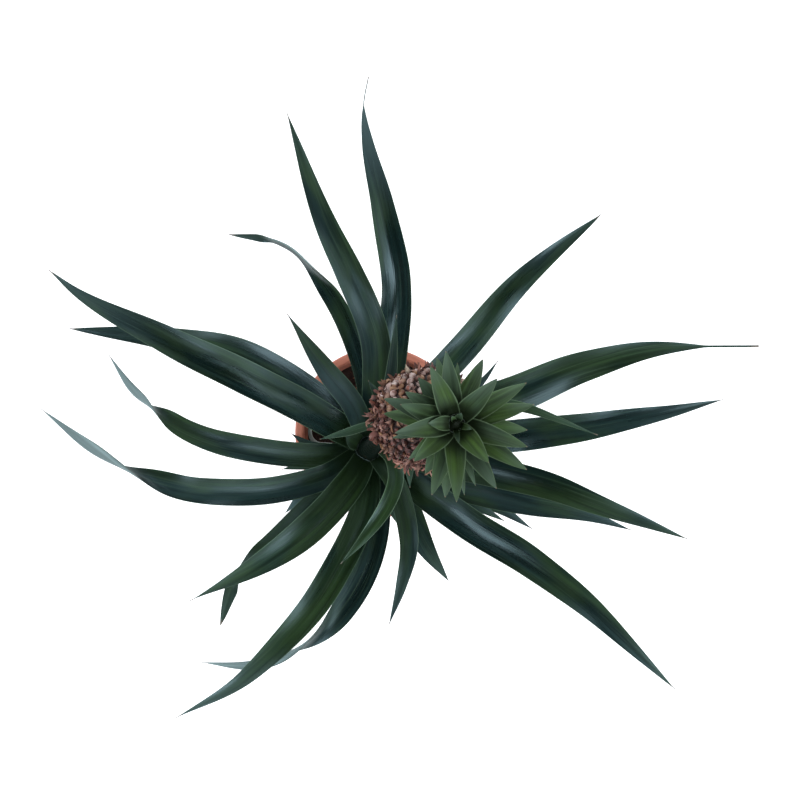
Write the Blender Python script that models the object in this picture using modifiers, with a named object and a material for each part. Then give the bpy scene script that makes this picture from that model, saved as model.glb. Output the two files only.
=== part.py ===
"""Pineapple plant (Ananas comosus) in fruit, growing in a round plastic nursery pot.

Metres, +Z up. The origin is the centre of the pot's flat underside. The stem stands a
little off the pot's centre and carries a rosette of long channelled leaves. Above them it
becomes a thinner fruit stalk, which leans towards +X and carries the fruit and its crown.
"""
import math
from collections import namedtuple

import bpy
import bmesh
from mathutils import Matrix, Vector

MM = 0.001
SEAT = 0.3 * MM                      # gap between pieces that touch

# Pot
POT_HEIGHT = 115 * MM
POT_RIM_RADIUS = 70 * MM
POT_BASE_RADIUS = 50 * MM
POT_WALL = 1.8 * MM
POT_LIP_WIDTH = 7.2 * MM             # from the lip's outer edge to the inner wall
POT_LIP_DROP = 17 * MM               # depth of the lip's hanging skirt
POT_LIP_ROUND = 2.6 * MM
POT_SKIRT_DRAFT = 0.6 * MM           # how much narrower the skirt is at its foot
POT_FOOT_ROUND = 2 * MM
POT_MIDDLE = 60 * MM
POT_CORNER = (1 * MM, 3 * MM)         # the inner corner's width and its top height
POT_STEPS = 40
DRAIN_HOLES = 8
DRAIN_RADIUS = 2.7 * MM
DRAIN_CIRCLE = 36 * MM

# Soil
SOIL_EDGE_HEIGHT = 95 * MM
SOIL_CROWN_HEIGHT = 99 * MM
SOIL_DOME = (30 * MM, 0.5 * MM)       # a radius on the dome, and its drop from the crown
SOIL_SLOPE = (48 * MM, 1.5 * MM)      # a radius on the slope, and its rise from the edge
SOIL_FOOT = 4 * MM                   # where the soil narrows to clear the pot's inner corner
SOIL_FOOT_GAP = 1.4 * MM
SOIL_STEPS = 32

# Stem and fruit stalk
STEM_CENTRE = Vector((-8 * MM, -12 * MM, 0))
STEM_RADIUS = 15 * MM                # at the lowest leaf
SHOULDER_RADIUS = 8 * MM
STEM_FOOT = 82 * MM                  # the stem's lower end, in the soil
STEM_SHOULDER = 172 * MM             # where the stem narrows to the fruit stalk
STALK_RADIUS = 6.5 * MM
STALK_TOP_RADIUS = 8.5 * MM
STALK_STATIONS = 10
STALK_FOOT_HANDLE = Vector((4 * MM, 2 * MM, 38 * MM))
STALK_TOP_HANDLE = 45 * MM
STALK_LEAF_GAP = 0.8 * MM

# Fruit
FRUIT_BASE = Vector((23 * MM, 11 * MM, 300 * MM))
FRUIT_TOP = Vector((52 * MM, 11.5 * MM, 380 * MM))
FRUIT_RADIUS = 37 * MM
FRUIT_BASE_FLAT = 12 * MM
FRUIT_TOP_FLAT = 13 * MM
FRUIT_ROWS = 12
FRUIT_STEPS = 24

# Crown
CROWN_AXIS = Vector((0.05, -0.02, 1)).normalized()
CROWN_STEM_RADIUS = 9 * MM
CROWN_STEM_LENGTH = 34 * MM
CROWN_FOOT = 3.2 * MM                # height of the cone at the foot of the crown's stem
CROWN_BUD_LENGTH = 10 * MM
CROWN_BUD_RADIUS = 4 * MM
CROWN_FOOT_RADIUS = 2 * MM
CROWN_LEAF_WIDTH = 15 * MM
CROWN_STEP = 1.4 * MM

# Leaves
LEAF_THICKNESS = 1.3 * MM
CROWN_LEAF_THICKNESS = 0.9 * MM
FIRST_LEAF_HEIGHT = 103 * MM
LEAF_STEP = 2.6 * MM
LEAF_GAP = 0.2 * MM
LEAF_STATIONS = 17
LEAF_TIP = 0.5 * MM                  # half the width of a leaf's thread or tip
CHANNEL_DEPTH = 0.14                 # depth of a leaf's channel over its width
WRAP_SHARE = 4.3                     # how far out a leaf's base nests, in stem radii
CLASP = 0.45                         # how far its edges are drawn in towards the stem

# A leaf: plan points from the stem outwards in mm, full width in mm, the slope at its
# base, how much that slope falls along it, the part that is a thread-thin dry tip, and a
# twist as (share of the length, degrees) stations with an eased turn between them.
Leaf = namedtuple("Leaf", "plan width rise fall thread twist", defaults=(None, None, 0.0, ()))

# The rosette, from the lowest leaf to the highest
ROSETTE = [
    Leaf([(-45, -6), (-73, -1)], 11, rise=0.7),
    Leaf([(60, -43), (95, -60), (125, -79)], 17),
    Leaf([(-45, -42), (-75, -69)], 15),
    Leaf([(-12, 45), (-29, 95), (-56, 134), (-81, 153), (-120, 160)], 20,
         twist=((0.42, 0), (0.70, -86), (0.83, -86), (0.90, -20))),
    Leaf([(16, -50), (36, -91), (56, -121)], 22),
    Leaf([(-50, -24), (-80, -30)], 11),
    Leaf([(60, -5), (133, 1), (215, 15), (271, 27)], 25),
    Leaf([(-60, 30), (-110, 60), (-168, 74), (-245, 83)], 25),
    Leaf([(-42, -47), (-82, -81), (-113, -114), (-124, -153)], 20,
         twist=((0.55, 0), (0.77, 70), (0.88, 10))),
    Leaf([(50, -42), (101, -71)], 17),
    Leaf([(8, 55), (14, 118), (5, 175), (-8, 222), (-12, 253), (-8, 278)], 23, thread=0.08),
    Leaf([(-4, -60), (-8, -97), (-24, -132), (-54, -161), (-95, -178), (-138, -178)], 21,
         twist=((0.45, 0), (0.9, -170))),
    Leaf([(50, 10), (105, 32), (160, 53), (215, 66), (292, 67)], 27, thread=0.12),
    Leaf([(-50, -18), (-105, -12), (-149, 3), (-187, 28), (-211, 61)], 21,
         twist=((0.62, 0), (0.88, 165))),
    Leaf([(-12, -60), (-28, -98), (-54, -139), (-102, -187), (-156, -218)], 21),
    Leaf([(50, -38), (115, -52), (160, -60), (194, -73)], 22),
    Leaf([(28, 27), (63, 64), (112, 119), (170, 168)], 20),
    Leaf([(-45, -35), (-95, -44), (-149, -38), (-199, -21), (-256, 21)], 23,
         twist=((0.42, 0), (0.92, 175))),
    Leaf([(28, -40), (66, -67), (116, -96), (161, -130), (222, -192)], 25),
    Leaf([(-2, 38), (-4, 76), (-22, 122), (-43, 168), (-68, 243)], 21),
    Leaf([(-37, 8), (-80, 34), (-153, 70), (-216, 103), (-247, 125)], 26),
    Leaf([(50, -22), (117, -35), (163, -51), (233, -78)], 23),
    Leaf([(-22, -38), (-51, -69), (-93, -98), (-141, -124)], 25),
    Leaf([(-21, 24), (-41, 51), (-70, 94)], 21),
    Leaf([(15, -42), (24, -81), (18, -115), (8, -146)], 16),
]

# The small leaves of the fruit stalk: height on the stalk in mm, then the leaf
STALK_LEAVES = [
    (206, Leaf([(10, -20), (11, -36), (4, -56), (-11, -78), (-29, -99)], 17, rise=0.75, fall=0.5)),
    (200, Leaf([(8, 32), (14, 90)], 10, rise=1.25, fall=0.45)),
    (256, Leaf([(-8, 7), (-25, 2), (-44, -3)], 10, rise=0.5, fall=0.45)),
    (238, Leaf([(55, 35), (88, 54)], 10, rise=1.0, fall=0.5)),
    (252, Leaf([(22, -18), (24, -39)], 9, rise=1.0, fall=0.6)),
    (264, Leaf([(60, 22), (102, 26), (161, 1)], 9, rise=0.8, fall=0.5)),
    (278, Leaf([(4, 24), (-7, 41)], 8, rise=0.8, fall=0.5)),
]

# The crown's leaves, from the lowest to the highest: heading in degrees, reach in mm
CROWN = [
    (173, 48), (-6, 52), (-96, 52), (64, 47), (-57, 54), (161, 48), (13, 56), (-120, 40),
    (-33, 58), (128, 39), (30, 55), (-109, 51), (147, 39), (-15, 50), (98, 49), (-91, 52),
    (160, 40), (47, 37), (-138, 37), (115, 40), (-51, 33), (-173, 42),
]

# The dead leaf: points along it in mm
DRY_LEAF = [(-25, -13, 100.2), (-42, -11, 100.2), (-52, -9.5, 102.2), (-57, -4, 107.2),
            (-58, 4, 112.2)]
DRY_LEAF_STATIONS = 11
DRY_LEAF_WIDTH = 5.2 * MM
DRY_LEAF_THICKNESS = 0.8 * MM


def clear_scene():
    for obj in list(bpy.data.objects):
        bpy.data.objects.remove(obj, do_unlink=True)


def new_collection(name):
    collection = bpy.data.collections.new(name)
    bpy.context.scene.collection.children.link(collection)
    return collection


def new_material(name, colour, roughness):
    material = bpy.data.materials.new(name)
    material.use_nodes = True
    shader = material.node_tree.nodes["Principled BSDF"]
    shader.inputs["Base Color"].default_value = (*colour, 1)
    shader.inputs["Roughness"].default_value = roughness
    shader.inputs["Metallic"].default_value = 0
    return material


def mesh_object(name, vertices, faces, material, collection):
    mesh = bpy.data.meshes.new(name)
    mesh.from_pydata(vertices, [], faces)
    mesh.shade_smooth()
    obj = bpy.data.objects.new(name, mesh)
    obj.data.materials.append(material)
    collection.objects.link(obj)
    return obj


def arc(centre_r, centre_z, radius, start, end, count):
    """Points of a profile's round corner, from one angle to another in degrees."""
    points = []
    for i in range(count + 1):
        angle = math.radians(start + (end - start) * i / count)
        points.append((centre_r + radius * math.cos(angle), centre_z + radius * math.sin(angle)))
    return points


def turned(name, profile, steps, material, collection, closed):
    """A profile of (radius, height) turned about Z; an open one starts and ends on the axis."""
    count = len(profile)
    edges = [(i, i + 1) for i in range(count - 1)]
    if closed:
        edges.append((count - 1, 0))
    mesh = bpy.data.meshes.new(name)
    mesh.from_pydata([(r, 0, z) for r, z in profile], edges, [])
    obj = bpy.data.objects.new(name, mesh)
    obj.data.materials.append(material)
    collection.objects.link(obj)
    screw = obj.modifiers.new("turn", "SCREW")
    screw.steps = steps
    screw.render_steps = steps
    screw.use_merge_vertices = True
    screw.merge_threshold = 0.01 * MM
    screw.use_smooth_shade = True
    return obj


def cut(obj, cutter):
    cutter.hide_render = True
    cutter.display_type = "WIRE"
    boolean = obj.modifiers.new("cut", "BOOLEAN")
    boolean.operation = "DIFFERENCE"
    boolean.solver = "EXACT"
    boolean.object = cutter


def cylinder_cutter(name, radius, bottom, top, centre, segments, collection):
    mesh = bpy.data.meshes.new(name)
    bm = bmesh.new()
    bmesh.ops.create_cone(bm, cap_ends=True, segments=segments, radius1=radius, radius2=radius,
                          depth=top - bottom)
    bm.to_mesh(mesh)
    bm.free()
    obj = bpy.data.objects.new(name, mesh)
    obj.location = (centre[0], centre[1], (top + bottom) / 2)
    collection.objects.link(obj)
    return obj


def inner_radius(height):
    """Radius of the pot's inner wall at a height above its underside."""
    foot = POT_BASE_RADIUS - POT_WALL
    top = POT_RIM_RADIUS - POT_LIP_WIDTH
    return foot + (top - foot) * (height - POT_WALL) / (POT_HEIGHT - POT_WALL)


def make_pot(collection, cutters):
    """A thin tapered pot whose lip turns over and hangs as a skirt."""
    plastic = new_material("terracotta_plastic", (0.50, 0.17, 0.11), 0.45)
    top = POT_HEIGHT
    lip = POT_LIP_ROUND
    skirt_inner = POT_RIM_RADIUS - POT_WALL
    wall_top = top - POT_WALL
    outer_wall = inner_radius(wall_top) + POT_WALL
    profile = arc(POT_RIM_RADIUS - lip, top - lip, lip, 90, 0, 3)
    profile += [(POT_RIM_RADIUS - POT_SKIRT_DRAFT, top - POT_LIP_DROP)]
    profile += [(skirt_inner - POT_SKIRT_DRAFT, top - POT_LIP_DROP)]
    profile += [(skirt_inner, wall_top), (outer_wall, wall_top)]
    profile += [(inner_radius(POT_MIDDLE) + POT_WALL, POT_MIDDLE)]
    profile += arc(POT_BASE_RADIUS - POT_FOOT_ROUND, POT_FOOT_ROUND, POT_FOOT_ROUND, 0, -90, 3)
    profile += [(0, 0), (0, POT_WALL)]
    profile += [(inner_radius(POT_WALL) - POT_CORNER[0], POT_WALL)]
    profile += [(inner_radius(POT_CORNER[1]), POT_CORNER[1])]
    profile += [(inner_radius(POT_MIDDLE), POT_MIDDLE)]
    profile += [(inner_radius(top - lip), top - lip)]
    profile += arc(inner_radius(top) + lip, top - lip, lip, 180, 90, 3)[1:]
    pot = turned("pot", profile, POT_STEPS, plastic, collection, closed=True)
    for i in range(DRAIN_HOLES):
        angle = 2 * math.pi * i / DRAIN_HOLES
        centre = (DRAIN_CIRCLE * math.cos(angle), DRAIN_CIRCLE * math.sin(angle))
        hole = cylinder_cutter(f"drain_cutter_{i + 1}", DRAIN_RADIUS, -POT_WALL, 2 * POT_WALL,
                               centre, 12, cutters)
        cut(pot, hole)


def make_soil(collection, cutters):
    """Potting soil that fills the pot, with a socket that the stem stands in."""
    soil_material = new_material("potting_soil", (0.035, 0.022, 0.018), 0.95)
    floor = POT_WALL + SEAT
    profile = [(0, SOIL_CROWN_HEIGHT), (SOIL_DOME[0], SOIL_CROWN_HEIGHT - SOIL_DOME[1])]
    profile += [(SOIL_SLOPE[0], SOIL_EDGE_HEIGHT + SOIL_SLOPE[1])]
    profile += [(inner_radius(SOIL_EDGE_HEIGHT) - SEAT, SOIL_EDGE_HEIGHT)]
    profile += [(inner_radius(POT_MIDDLE) - SEAT, POT_MIDDLE)]
    profile += [(inner_radius(SOIL_FOOT) - SOIL_FOOT_GAP, floor), (0, floor)]
    soil = turned("soil", profile, SOIL_STEPS, soil_material, collection, closed=False)
    socket = cylinder_cutter("stem_cutter", STEM_RADIUS + SEAT, STEM_FOOT - SEAT, POT_HEIGHT,
                             STEM_CENTRE, 24, cutters)
    cut(soil, socket)


def bezier(start, handle_1, handle_2, end, t):
    u = 1 - t
    return u ** 3 * start + 3 * u * u * t * handle_1 + 3 * u * t * t * handle_2 + t ** 3 * end


def fruit_axis():
    return (FRUIT_TOP - FRUIT_BASE).normalized()


def stalk_point(t):
    """Centre of the fruit stalk, from the stem's shoulder (0) to the fruit (1)."""
    start = STEM_CENTRE + Vector((0, 0, STEM_SHOULDER))
    end = FRUIT_BASE - fruit_axis() * 2 * SEAT
    return bezier(start, start + STALK_FOOT_HANDLE, end - fruit_axis() * STALK_TOP_HANDLE, end, t)


def stalk_at_height(height):
    """Centre and direction of the fruit stalk at a height."""
    low, high = 0.0, 1.0
    for _ in range(30):
        middle = (low + high) / 2
        if stalk_point(middle).z < height:
            low = middle
        else:
            high = middle
    direction = stalk_point(min(1, low + 0.02)) - stalk_point(low - 0.02)
    return stalk_point(low), direction.normalized()


def stem_radius(height):
    """The stem narrows from the lowest leaf up to its shoulder."""
    share = (height - FIRST_LEAF_HEIGHT) / (STEM_SHOULDER - FIRST_LEAF_HEIGHT)
    return STEM_RADIUS + (SHOULDER_RADIUS - STEM_RADIUS) * max(0.0, share)


def make_stem(collection):
    """The stem and the fruit stalk that it becomes, one round tapering piece."""
    tissue = new_material("stem_tissue", (0.30, 0.34, 0.16), 0.6)
    stations = [(STEM_CENTRE + Vector((0, 0, STEM_FOOT)), STEM_RADIUS)]
    stations += [(STEM_CENTRE + Vector((0, 0, FIRST_LEAF_HEIGHT)), STEM_RADIUS)]
    stations += [(STEM_CENTRE + Vector((0, 0, STEM_SHOULDER)), SHOULDER_RADIUS)]
    for i in range(1, STALK_STATIONS + 1):
        t = i / STALK_STATIONS
        radius = STALK_RADIUS + (STALK_TOP_RADIUS - STALK_RADIUS) * t ** 3
        if i == 1:
            radius = (STALK_RADIUS + SHOULDER_RADIUS) / 2
        stations.append((stalk_point(t), radius))
    curve = bpy.data.curves.new("stem", "CURVE")
    curve.dimensions = "3D"
    curve.bevel_depth = STEM_RADIUS
    curve.bevel_resolution = 6
    curve.use_fill_caps = True
    spline = curve.splines.new("POLY")
    spline.points.add(len(stations) - 1)
    for point, (centre, radius) in zip(spline.points, stations):
        point.co = (*centre, 1)
        point.radius = radius / STEM_RADIUS
    obj = bpy.data.objects.new("stem", curve)
    obj.data.materials.append(tissue)
    collection.objects.link(obj)


def frame_along(origin, direction):
    """A matrix that stands a piece at a point with its Z axis along a direction."""
    turn = Vector((0, 0, 1)).rotation_difference(direction).to_matrix().to_4x4()
    return Matrix.Translation(origin) @ turn


def make_fruit(collection):
    """The fruit, a plump barrel with a flat seat at each end."""
    flesh = new_material("fruit_rind", (0.42, 0.22, 0.17), 0.6)
    length = (FRUIT_TOP - FRUIT_BASE).length
    profile = [(0, length), (FRUIT_TOP_FLAT, length)]
    for i in range(1, FRUIT_ROWS):
        x = 1 - 2 * i / FRUIT_ROWS
        end = FRUIT_TOP_FLAT if x > 0 else FRUIT_BASE_FLAT
        radius = end + (FRUIT_RADIUS - end) * (1 - abs(x) ** 2.6) ** 0.62
        profile.append((radius, length * (1 + x) / 2))
    profile += [(FRUIT_BASE_FLAT, 0), (0, 0)]
    fruit = turned("fruit", profile, FRUIT_STEPS, flesh, collection, closed=False)
    fruit.matrix_world = frame_along(FRUIT_BASE, fruit_axis())


def crown_frame():
    return frame_along(FRUIT_TOP + fruit_axis() * 3 * SEAT, CROWN_AXIS)


def crown_stem_radius(height):
    """The crown's stem narrows from its foot up to the tip of its leaf bud."""
    share = (height - CROWN_FOOT) / (CROWN_STEM_LENGTH - CROWN_FOOT)
    return CROWN_STEM_RADIUS * (1 - 0.45 * share)


def make_crown_stem(collection):
    """The crown's short stem and the blunt growing tip between its innermost leaves."""
    green = new_material("crown_bud", (0.12, 0.20, 0.08), 0.55)
    tip = CROWN_STEM_LENGTH + CROWN_BUD_LENGTH
    profile = [(0, tip), (CROWN_BUD_RADIUS / 2, tip - 0.1 * CROWN_BUD_LENGTH)]
    profile += [(CROWN_BUD_RADIUS, tip - 0.5 * CROWN_BUD_LENGTH)]
    profile += [(crown_stem_radius(CROWN_STEM_LENGTH), CROWN_STEM_LENGTH)]
    profile += [(CROWN_STEM_RADIUS, CROWN_FOOT), (CROWN_FOOT_RADIUS, 0), (0, 0)]
    stem = turned("crown_stem", profile, 16, green, collection, closed=False)
    stem.matrix_world = crown_frame()


def smooth_route(points, count):
    """Evenly spaced points on a Catmull-Rom curve through the given ones."""
    ends = [2 * points[0] - points[1]] + points + [2 * points[-1] - points[-2]]
    fine = []
    for i in range(1, len(ends) - 2):
        a, b, c, d = ends[i - 1:i + 3]
        for j in range(24):
            t = j / 24
            fine.append(0.5 * (2 * b + (c - a) * t + (2 * a - 5 * b + 4 * c - d) * t ** 2
                               + (3 * b - a - 3 * c + d) * t ** 3))
    fine.append(points[-1])
    walked = [0.0]
    for before, after in zip(fine, fine[1:]):
        walked.append(walked[-1] + (after - before).length)
    route = []
    k = 0
    for i in range(count):
        target = walked[-1] * i / (count - 1)
        while k < len(fine) - 2 and walked[k + 1] < target:
            k += 1
        share = (target - walked[k]) / (walked[k + 1] - walked[k])
        route.append(fine[k].lerp(fine[k + 1], share))
    return route, walked[-1]


def smooth_step(start, end, value):
    x = max(0.0, min(1.0, (value - start) / (end - start)))
    return x * x * (3 - 2 * x)


def twist_at(stations, t):
    """Degrees of twist at a share of the leaf's length, eased from station to station."""
    degrees = 0.0
    for (start, before), (end, after) in zip(stations, stations[1:]):
        degrees += (after - before) * smooth_step(start, end, t)
    return degrees


def long_leaf_width(t, thread):
    """Share of the full width: a clasping base, a broad lower half, a long taper."""
    to_tip = max(0.0, 1 - t - thread) / (1 - thread)
    taper = math.sin(math.pi / 2 * min(1, to_tip / 0.65))
    return taper * (1 - 0.2 * max(0.0, (0.25 - t) / 0.25) ** 2)


def crown_leaf_width(t):
    """Share of the full width of a short, nearly triangular leaf."""
    return math.sin(math.pi / 2 * min(1, (1 - t) / 0.85)) ** 0.9


def leaf_strip(name, route, half_widths, rolls, axis_point, axis, wrap_reach, thickness, material,
               collection):
    """A channelled leaf: a strip of three points across, given its thickness by Solidify.

    Near the stem the edges are drawn in towards the midrib's own distance from the axis
    and lifted with the leaf's slope, so that the bases clasp the stem and nest like cones.
    """
    vertices = []
    count = len(route)
    for i, centre in enumerate(route):
        ahead = route[min(i + 1, count - 1)]
        behind = route[max(i - 1, 0)]
        tangent = (ahead - behind).normalized()
        side = Vector((-tangent.y, tangent.x, 0)).normalized()
        above = tangent.cross(side).normalized()
        turn = Matrix.Rotation(rolls[i], 3, tangent)
        side, above = turn @ side, turn @ above
        offset = centre - axis_point
        reach = (offset - axis * offset.dot(axis)).length
        nested = 1 - smooth_step(0.25 * wrap_reach, wrap_reach, reach)
        clasp = CLASP * nested
        depth = 2 * half_widths[i] * CHANNEL_DEPTH * (1 - nested)
        slope = tangent.dot(axis) / (tangent - axis * tangent.dot(axis)).length
        if i == count - 1:
            vertices.append(centre)
            break
        for sign in (1, 0, -1):
            point = centre + side * half_widths[i] * sign + above * depth * abs(sign)
            spoke = point - axis_point
            spoke -= axis * spoke.dot(axis)
            drawn = clasp * reach + (1 - clasp) * spoke.length
            lift = axis * nested * slope * (drawn - reach)
            vertices.append(point - spoke * (1 - drawn / spoke.length) + lift)
    faces = []
    for i in range(count - 2):
        for j in range(2):
            a = 3 * i + j
            faces.append((a, a + 1, a + 4, a + 3))
    last = 3 * (count - 2)
    faces += [(last, last + 1, last + 3), (last + 1, last + 2, last + 3)]
    leaf = mesh_object(name, vertices, faces, material, collection)
    solid = leaf.modifiers.new("thickness", "SOLIDIFY")
    solid.thickness = thickness
    solid.offset = -1
    return leaf


def grow_leaf(name, leaf, rise, fall, axis_point, axis, radius, material, collection):
    """A long leaf on the stem: its plan points, lifted along a rising and falling arch."""
    plan = [Vector((x * MM, y * MM, axis_point.z)) for x, y in leaf.plan]
    outwards = plan[0] - axis_point
    outwards = (outwards - axis * outwards.dot(axis)).normalized()
    start = axis_point + outwards * (radius + SEAT)
    points = [start] + [Vector((p.x, p.y, start.z)) for p in plan]
    route, reach = smooth_route(points, LEAF_STATIONS)
    half_widths = []
    rolls = []
    for i, point in enumerate(route):
        t = i / (LEAF_STATIONS - 1)
        point.z += reach * (rise * t - fall * t * t)
        half_widths.append(max(LEAF_TIP, leaf.width * MM / 2 * long_leaf_width(t, leaf.thread)))
        rolls.append(math.radians(twist_at(leaf.twist, t)))
    leaf_strip(name, route, half_widths, rolls, axis_point, axis, WRAP_SHARE * radius,
               LEAF_THICKNESS, material, collection)


def make_rosette(collection):
    """The long leaves; the higher on the stem, the steeper they rise."""
    green = new_material("leaf", (0.035, 0.075, 0.045), 0.4)
    up = Vector((0, 0, 1))
    for k, leaf in enumerate(ROSETTE):
        rise = leaf.rise or 0.6 + 0.026 * k
        fall = leaf.fall or 0.45 + 0.012 * k
        height = FIRST_LEAF_HEIGHT + LEAF_STEP * k
        grow_leaf(f"rosette_leaf_{k + 1:02d}", leaf, rise, fall, STEM_CENTRE + up * height, up,
                  stem_radius(height) + LEAF_GAP, green, collection)


def make_stalk_leaves(collection):
    green = new_material("stalk_leaf", (0.08, 0.15, 0.06), 0.45)
    for k, (height, leaf) in enumerate(STALK_LEAVES):
        centre, direction = stalk_at_height(height * MM)
        grow_leaf(f"stalk_leaf_{k + 1}", leaf, leaf.rise, leaf.fall, centre, direction,
                  STALK_RADIUS + STALK_LEAF_GAP, green, collection)


def make_crown_leaves(collection):
    """Short stiff leaves in a spiral, opening from an upright heart to a flat skirt."""
    green = new_material("crown_leaf", (0.10, 0.18, 0.08), 0.5)
    stations = 7
    up = Vector((0, 0, 1))
    for k, (heading, reach_mm) in enumerate(CROWN):
        age = 1 - k / (len(CROWN) - 1)
        height = CROWN_FOOT + CROWN_STEP * (k + 0.3)
        angle = math.radians(heading)
        outwards = Vector((math.cos(angle), math.sin(angle), 0))
        start = crown_stem_radius(height) + SEAT
        reach = reach_mm * MM - start
        rise = 0.45 + 1.0 * (1 - age)
        fall = 0.35 + 0.15 * (1 - age)
        route = []
        half_widths = []
        for i in range(stations):
            t = i / (stations - 1)
            lift = height + reach * (rise * t - fall * t * t)
            route.append(outwards * (start + reach * t) + up * lift)
            half_widths.append(CROWN_LEAF_WIDTH / 2 * crown_leaf_width(t))
        leaf = leaf_strip(f"crown_leaf_{k + 1:02d}", route, half_widths, [0.0] * stations,
                          Vector((0, 0, 0)), up, WRAP_SHARE * start, CROWN_LEAF_THICKNESS, green,
                          collection)
        leaf.matrix_world = crown_frame()


def make_dry_leaf(collection):
    """A narrow dead leaf that lies on the soil and curls up inside the pot's lip."""
    dry = new_material("dry_leaf", (0.42, 0.38, 0.32), 0.7)
    points = [Vector((x * MM, y * MM, z * MM)) for x, y, z in DRY_LEAF]
    route, _ = smooth_route(points, DRY_LEAF_STATIONS)
    last = DRY_LEAF_STATIONS - 1
    half_widths = [DRY_LEAF_WIDTH / 2 * (1 - 0.5 * i / last) for i in range(DRY_LEAF_STATIONS)]
    leaf_strip("dry_leaf", route, half_widths, [0.0] * DRY_LEAF_STATIONS, STEM_CENTRE,
               Vector((0, 0, 1)), STEM_RADIUS, DRY_LEAF_THICKNESS, dry, collection)


clear_scene()
plant = new_collection("potted_pineapple_plant")
cutting_tools = new_collection("cutters")
make_pot(plant, cutting_tools)
make_soil(plant, cutting_tools)
make_stem(plant)
make_fruit(plant)
make_crown_stem(plant)
make_rosette(plant)
make_stalk_leaves(plant)
make_crown_leaves(plant)
make_dry_leaf(plant)
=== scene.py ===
"""A fruiting pineapple plant in a round plastic nursery pot, finished for display.

Metres, +Z up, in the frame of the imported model. The sections follow the plant as it is put
together: pot, soil, stem, long leaves, leaves of the fruit stalk, fruit and crown.
"""
import math
from collections import namedtuple

import bpy
import numpy as np
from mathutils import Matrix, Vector


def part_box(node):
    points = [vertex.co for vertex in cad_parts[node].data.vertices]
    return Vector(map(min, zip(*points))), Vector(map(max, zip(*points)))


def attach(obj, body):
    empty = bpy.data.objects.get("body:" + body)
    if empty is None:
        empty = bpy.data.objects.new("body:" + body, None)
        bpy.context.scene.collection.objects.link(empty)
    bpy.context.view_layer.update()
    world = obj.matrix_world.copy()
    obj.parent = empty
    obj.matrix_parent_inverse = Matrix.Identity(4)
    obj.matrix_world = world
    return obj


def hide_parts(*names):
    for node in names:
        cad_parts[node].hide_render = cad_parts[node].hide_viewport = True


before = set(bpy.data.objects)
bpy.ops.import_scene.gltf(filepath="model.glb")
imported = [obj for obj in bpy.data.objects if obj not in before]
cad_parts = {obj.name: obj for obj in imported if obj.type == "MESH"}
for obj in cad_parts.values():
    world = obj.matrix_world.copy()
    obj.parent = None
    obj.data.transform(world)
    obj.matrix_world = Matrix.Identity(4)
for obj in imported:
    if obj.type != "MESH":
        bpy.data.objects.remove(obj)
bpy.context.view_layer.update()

# ---------- camera, floor and light
# The plant stands on a bright pale table. A broad diffuser hangs over it, and a few soft
# boxes stand round it. The camera hangs straight above and looks down with +Y at the top.
MM = 0.001
CAMERA_PLACE = (0.0165, 0.0266, 1.815)
CAMERA_LENS = 92.9
DIFFUSER_HEIGHT = 2.3
DIFFUSER_SIDE = 2.8
DIFFUSER_POWER = 36
# Compass angle in degrees and power of each soft box
SOFT_BOXES = [(-20, 19), (-82, 17), (160, 15.5), (60, 5)]
SOFT_BOX_REACH = 1.9
SOFT_BOX_FROM_ZENITH = 54
SOFT_BOX_SIDE = 0.9
SOFT_BOX_AIM = (0, 0, 0.15)
ROOM_LIGHT = 0.2
FLOOR_REACH = 12
FLOOR_GLOW = 0.6


def placed(name, data):
    """A new object in the scene that shows some data."""
    made = bpy.data.objects.new(name, data)
    bpy.context.scene.collection.objects.link(made)
    return made


camera_data = bpy.data.cameras.new("camera")
camera_data.lens = CAMERA_LENS
camera = placed("camera", camera_data)
camera.location = CAMERA_PLACE
bpy.context.scene.camera = camera
bpy.context.scene.view_settings.view_transform = "Standard"


def area_light(name, side, power, colour, place, aim):
    """A square soft light at a place, aimed at a point."""
    data = bpy.data.lights.new(name, "AREA")
    data.size = side
    data.energy = power
    data.color = colour
    light = placed(name, data)
    light.location = place
    light.rotation_euler = (Vector(aim) - Vector(place)).to_track_quat("-Z", "Y").to_euler()
    light.visible_camera = False
    return light


diffuser = area_light("diffuser", DIFFUSER_SIDE, DIFFUSER_POWER, (0.97, 0.99, 1.0),
                      (0, 0, DIFFUSER_HEIGHT), (0, 0, 0))
diffuser.visible_glossy = False
for compass, power in SOFT_BOXES:
    turn, lean = math.radians(compass), math.radians(SOFT_BOX_FROM_ZENITH)
    place = Vector((math.cos(turn) * math.sin(lean), math.sin(turn) * math.sin(lean), math.cos(lean)))
    area_light("soft_box", SOFT_BOX_SIDE, power, (0.84, 0.92, 1.0), place * SOFT_BOX_REACH,
               SOFT_BOX_AIM)

world = bpy.data.worlds.new("room")
world.use_nodes = True
room = world.node_tree.nodes["Background"].inputs
room["Color"].default_value = (1.0, 0.98, 0.95, 1)
room["Strength"].default_value = ROOM_LIGHT
world.cycles_visibility.glossy = False
bpy.context.scene.world = world

floor_mesh = bpy.data.meshes.new("floor")
floor_corners = [(x * FLOOR_REACH, y * FLOOR_REACH, -0.2 * MM)
                 for x, y in ((-1, -1), (1, -1), (1, 1), (-1, 1))]
floor_mesh.from_pydata(floor_corners, [], [(0, 1, 2, 3)])
floor = placed("floor", floor_mesh)
floor_material = bpy.data.materials.new("floor_paint")
floor_material.use_nodes = True
paint = floor_material.node_tree.nodes["Principled BSDF"].inputs
paint["Base Color"].default_value = (0.93, 0.93, 0.93, 1)
paint["Roughness"].default_value = 0.9
paint["Emission Color"].default_value = (1, 1, 1, 1)
paint["Emission Strength"].default_value = FLOOR_GLOW
floor_mesh.materials.append(floor_material)

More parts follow.
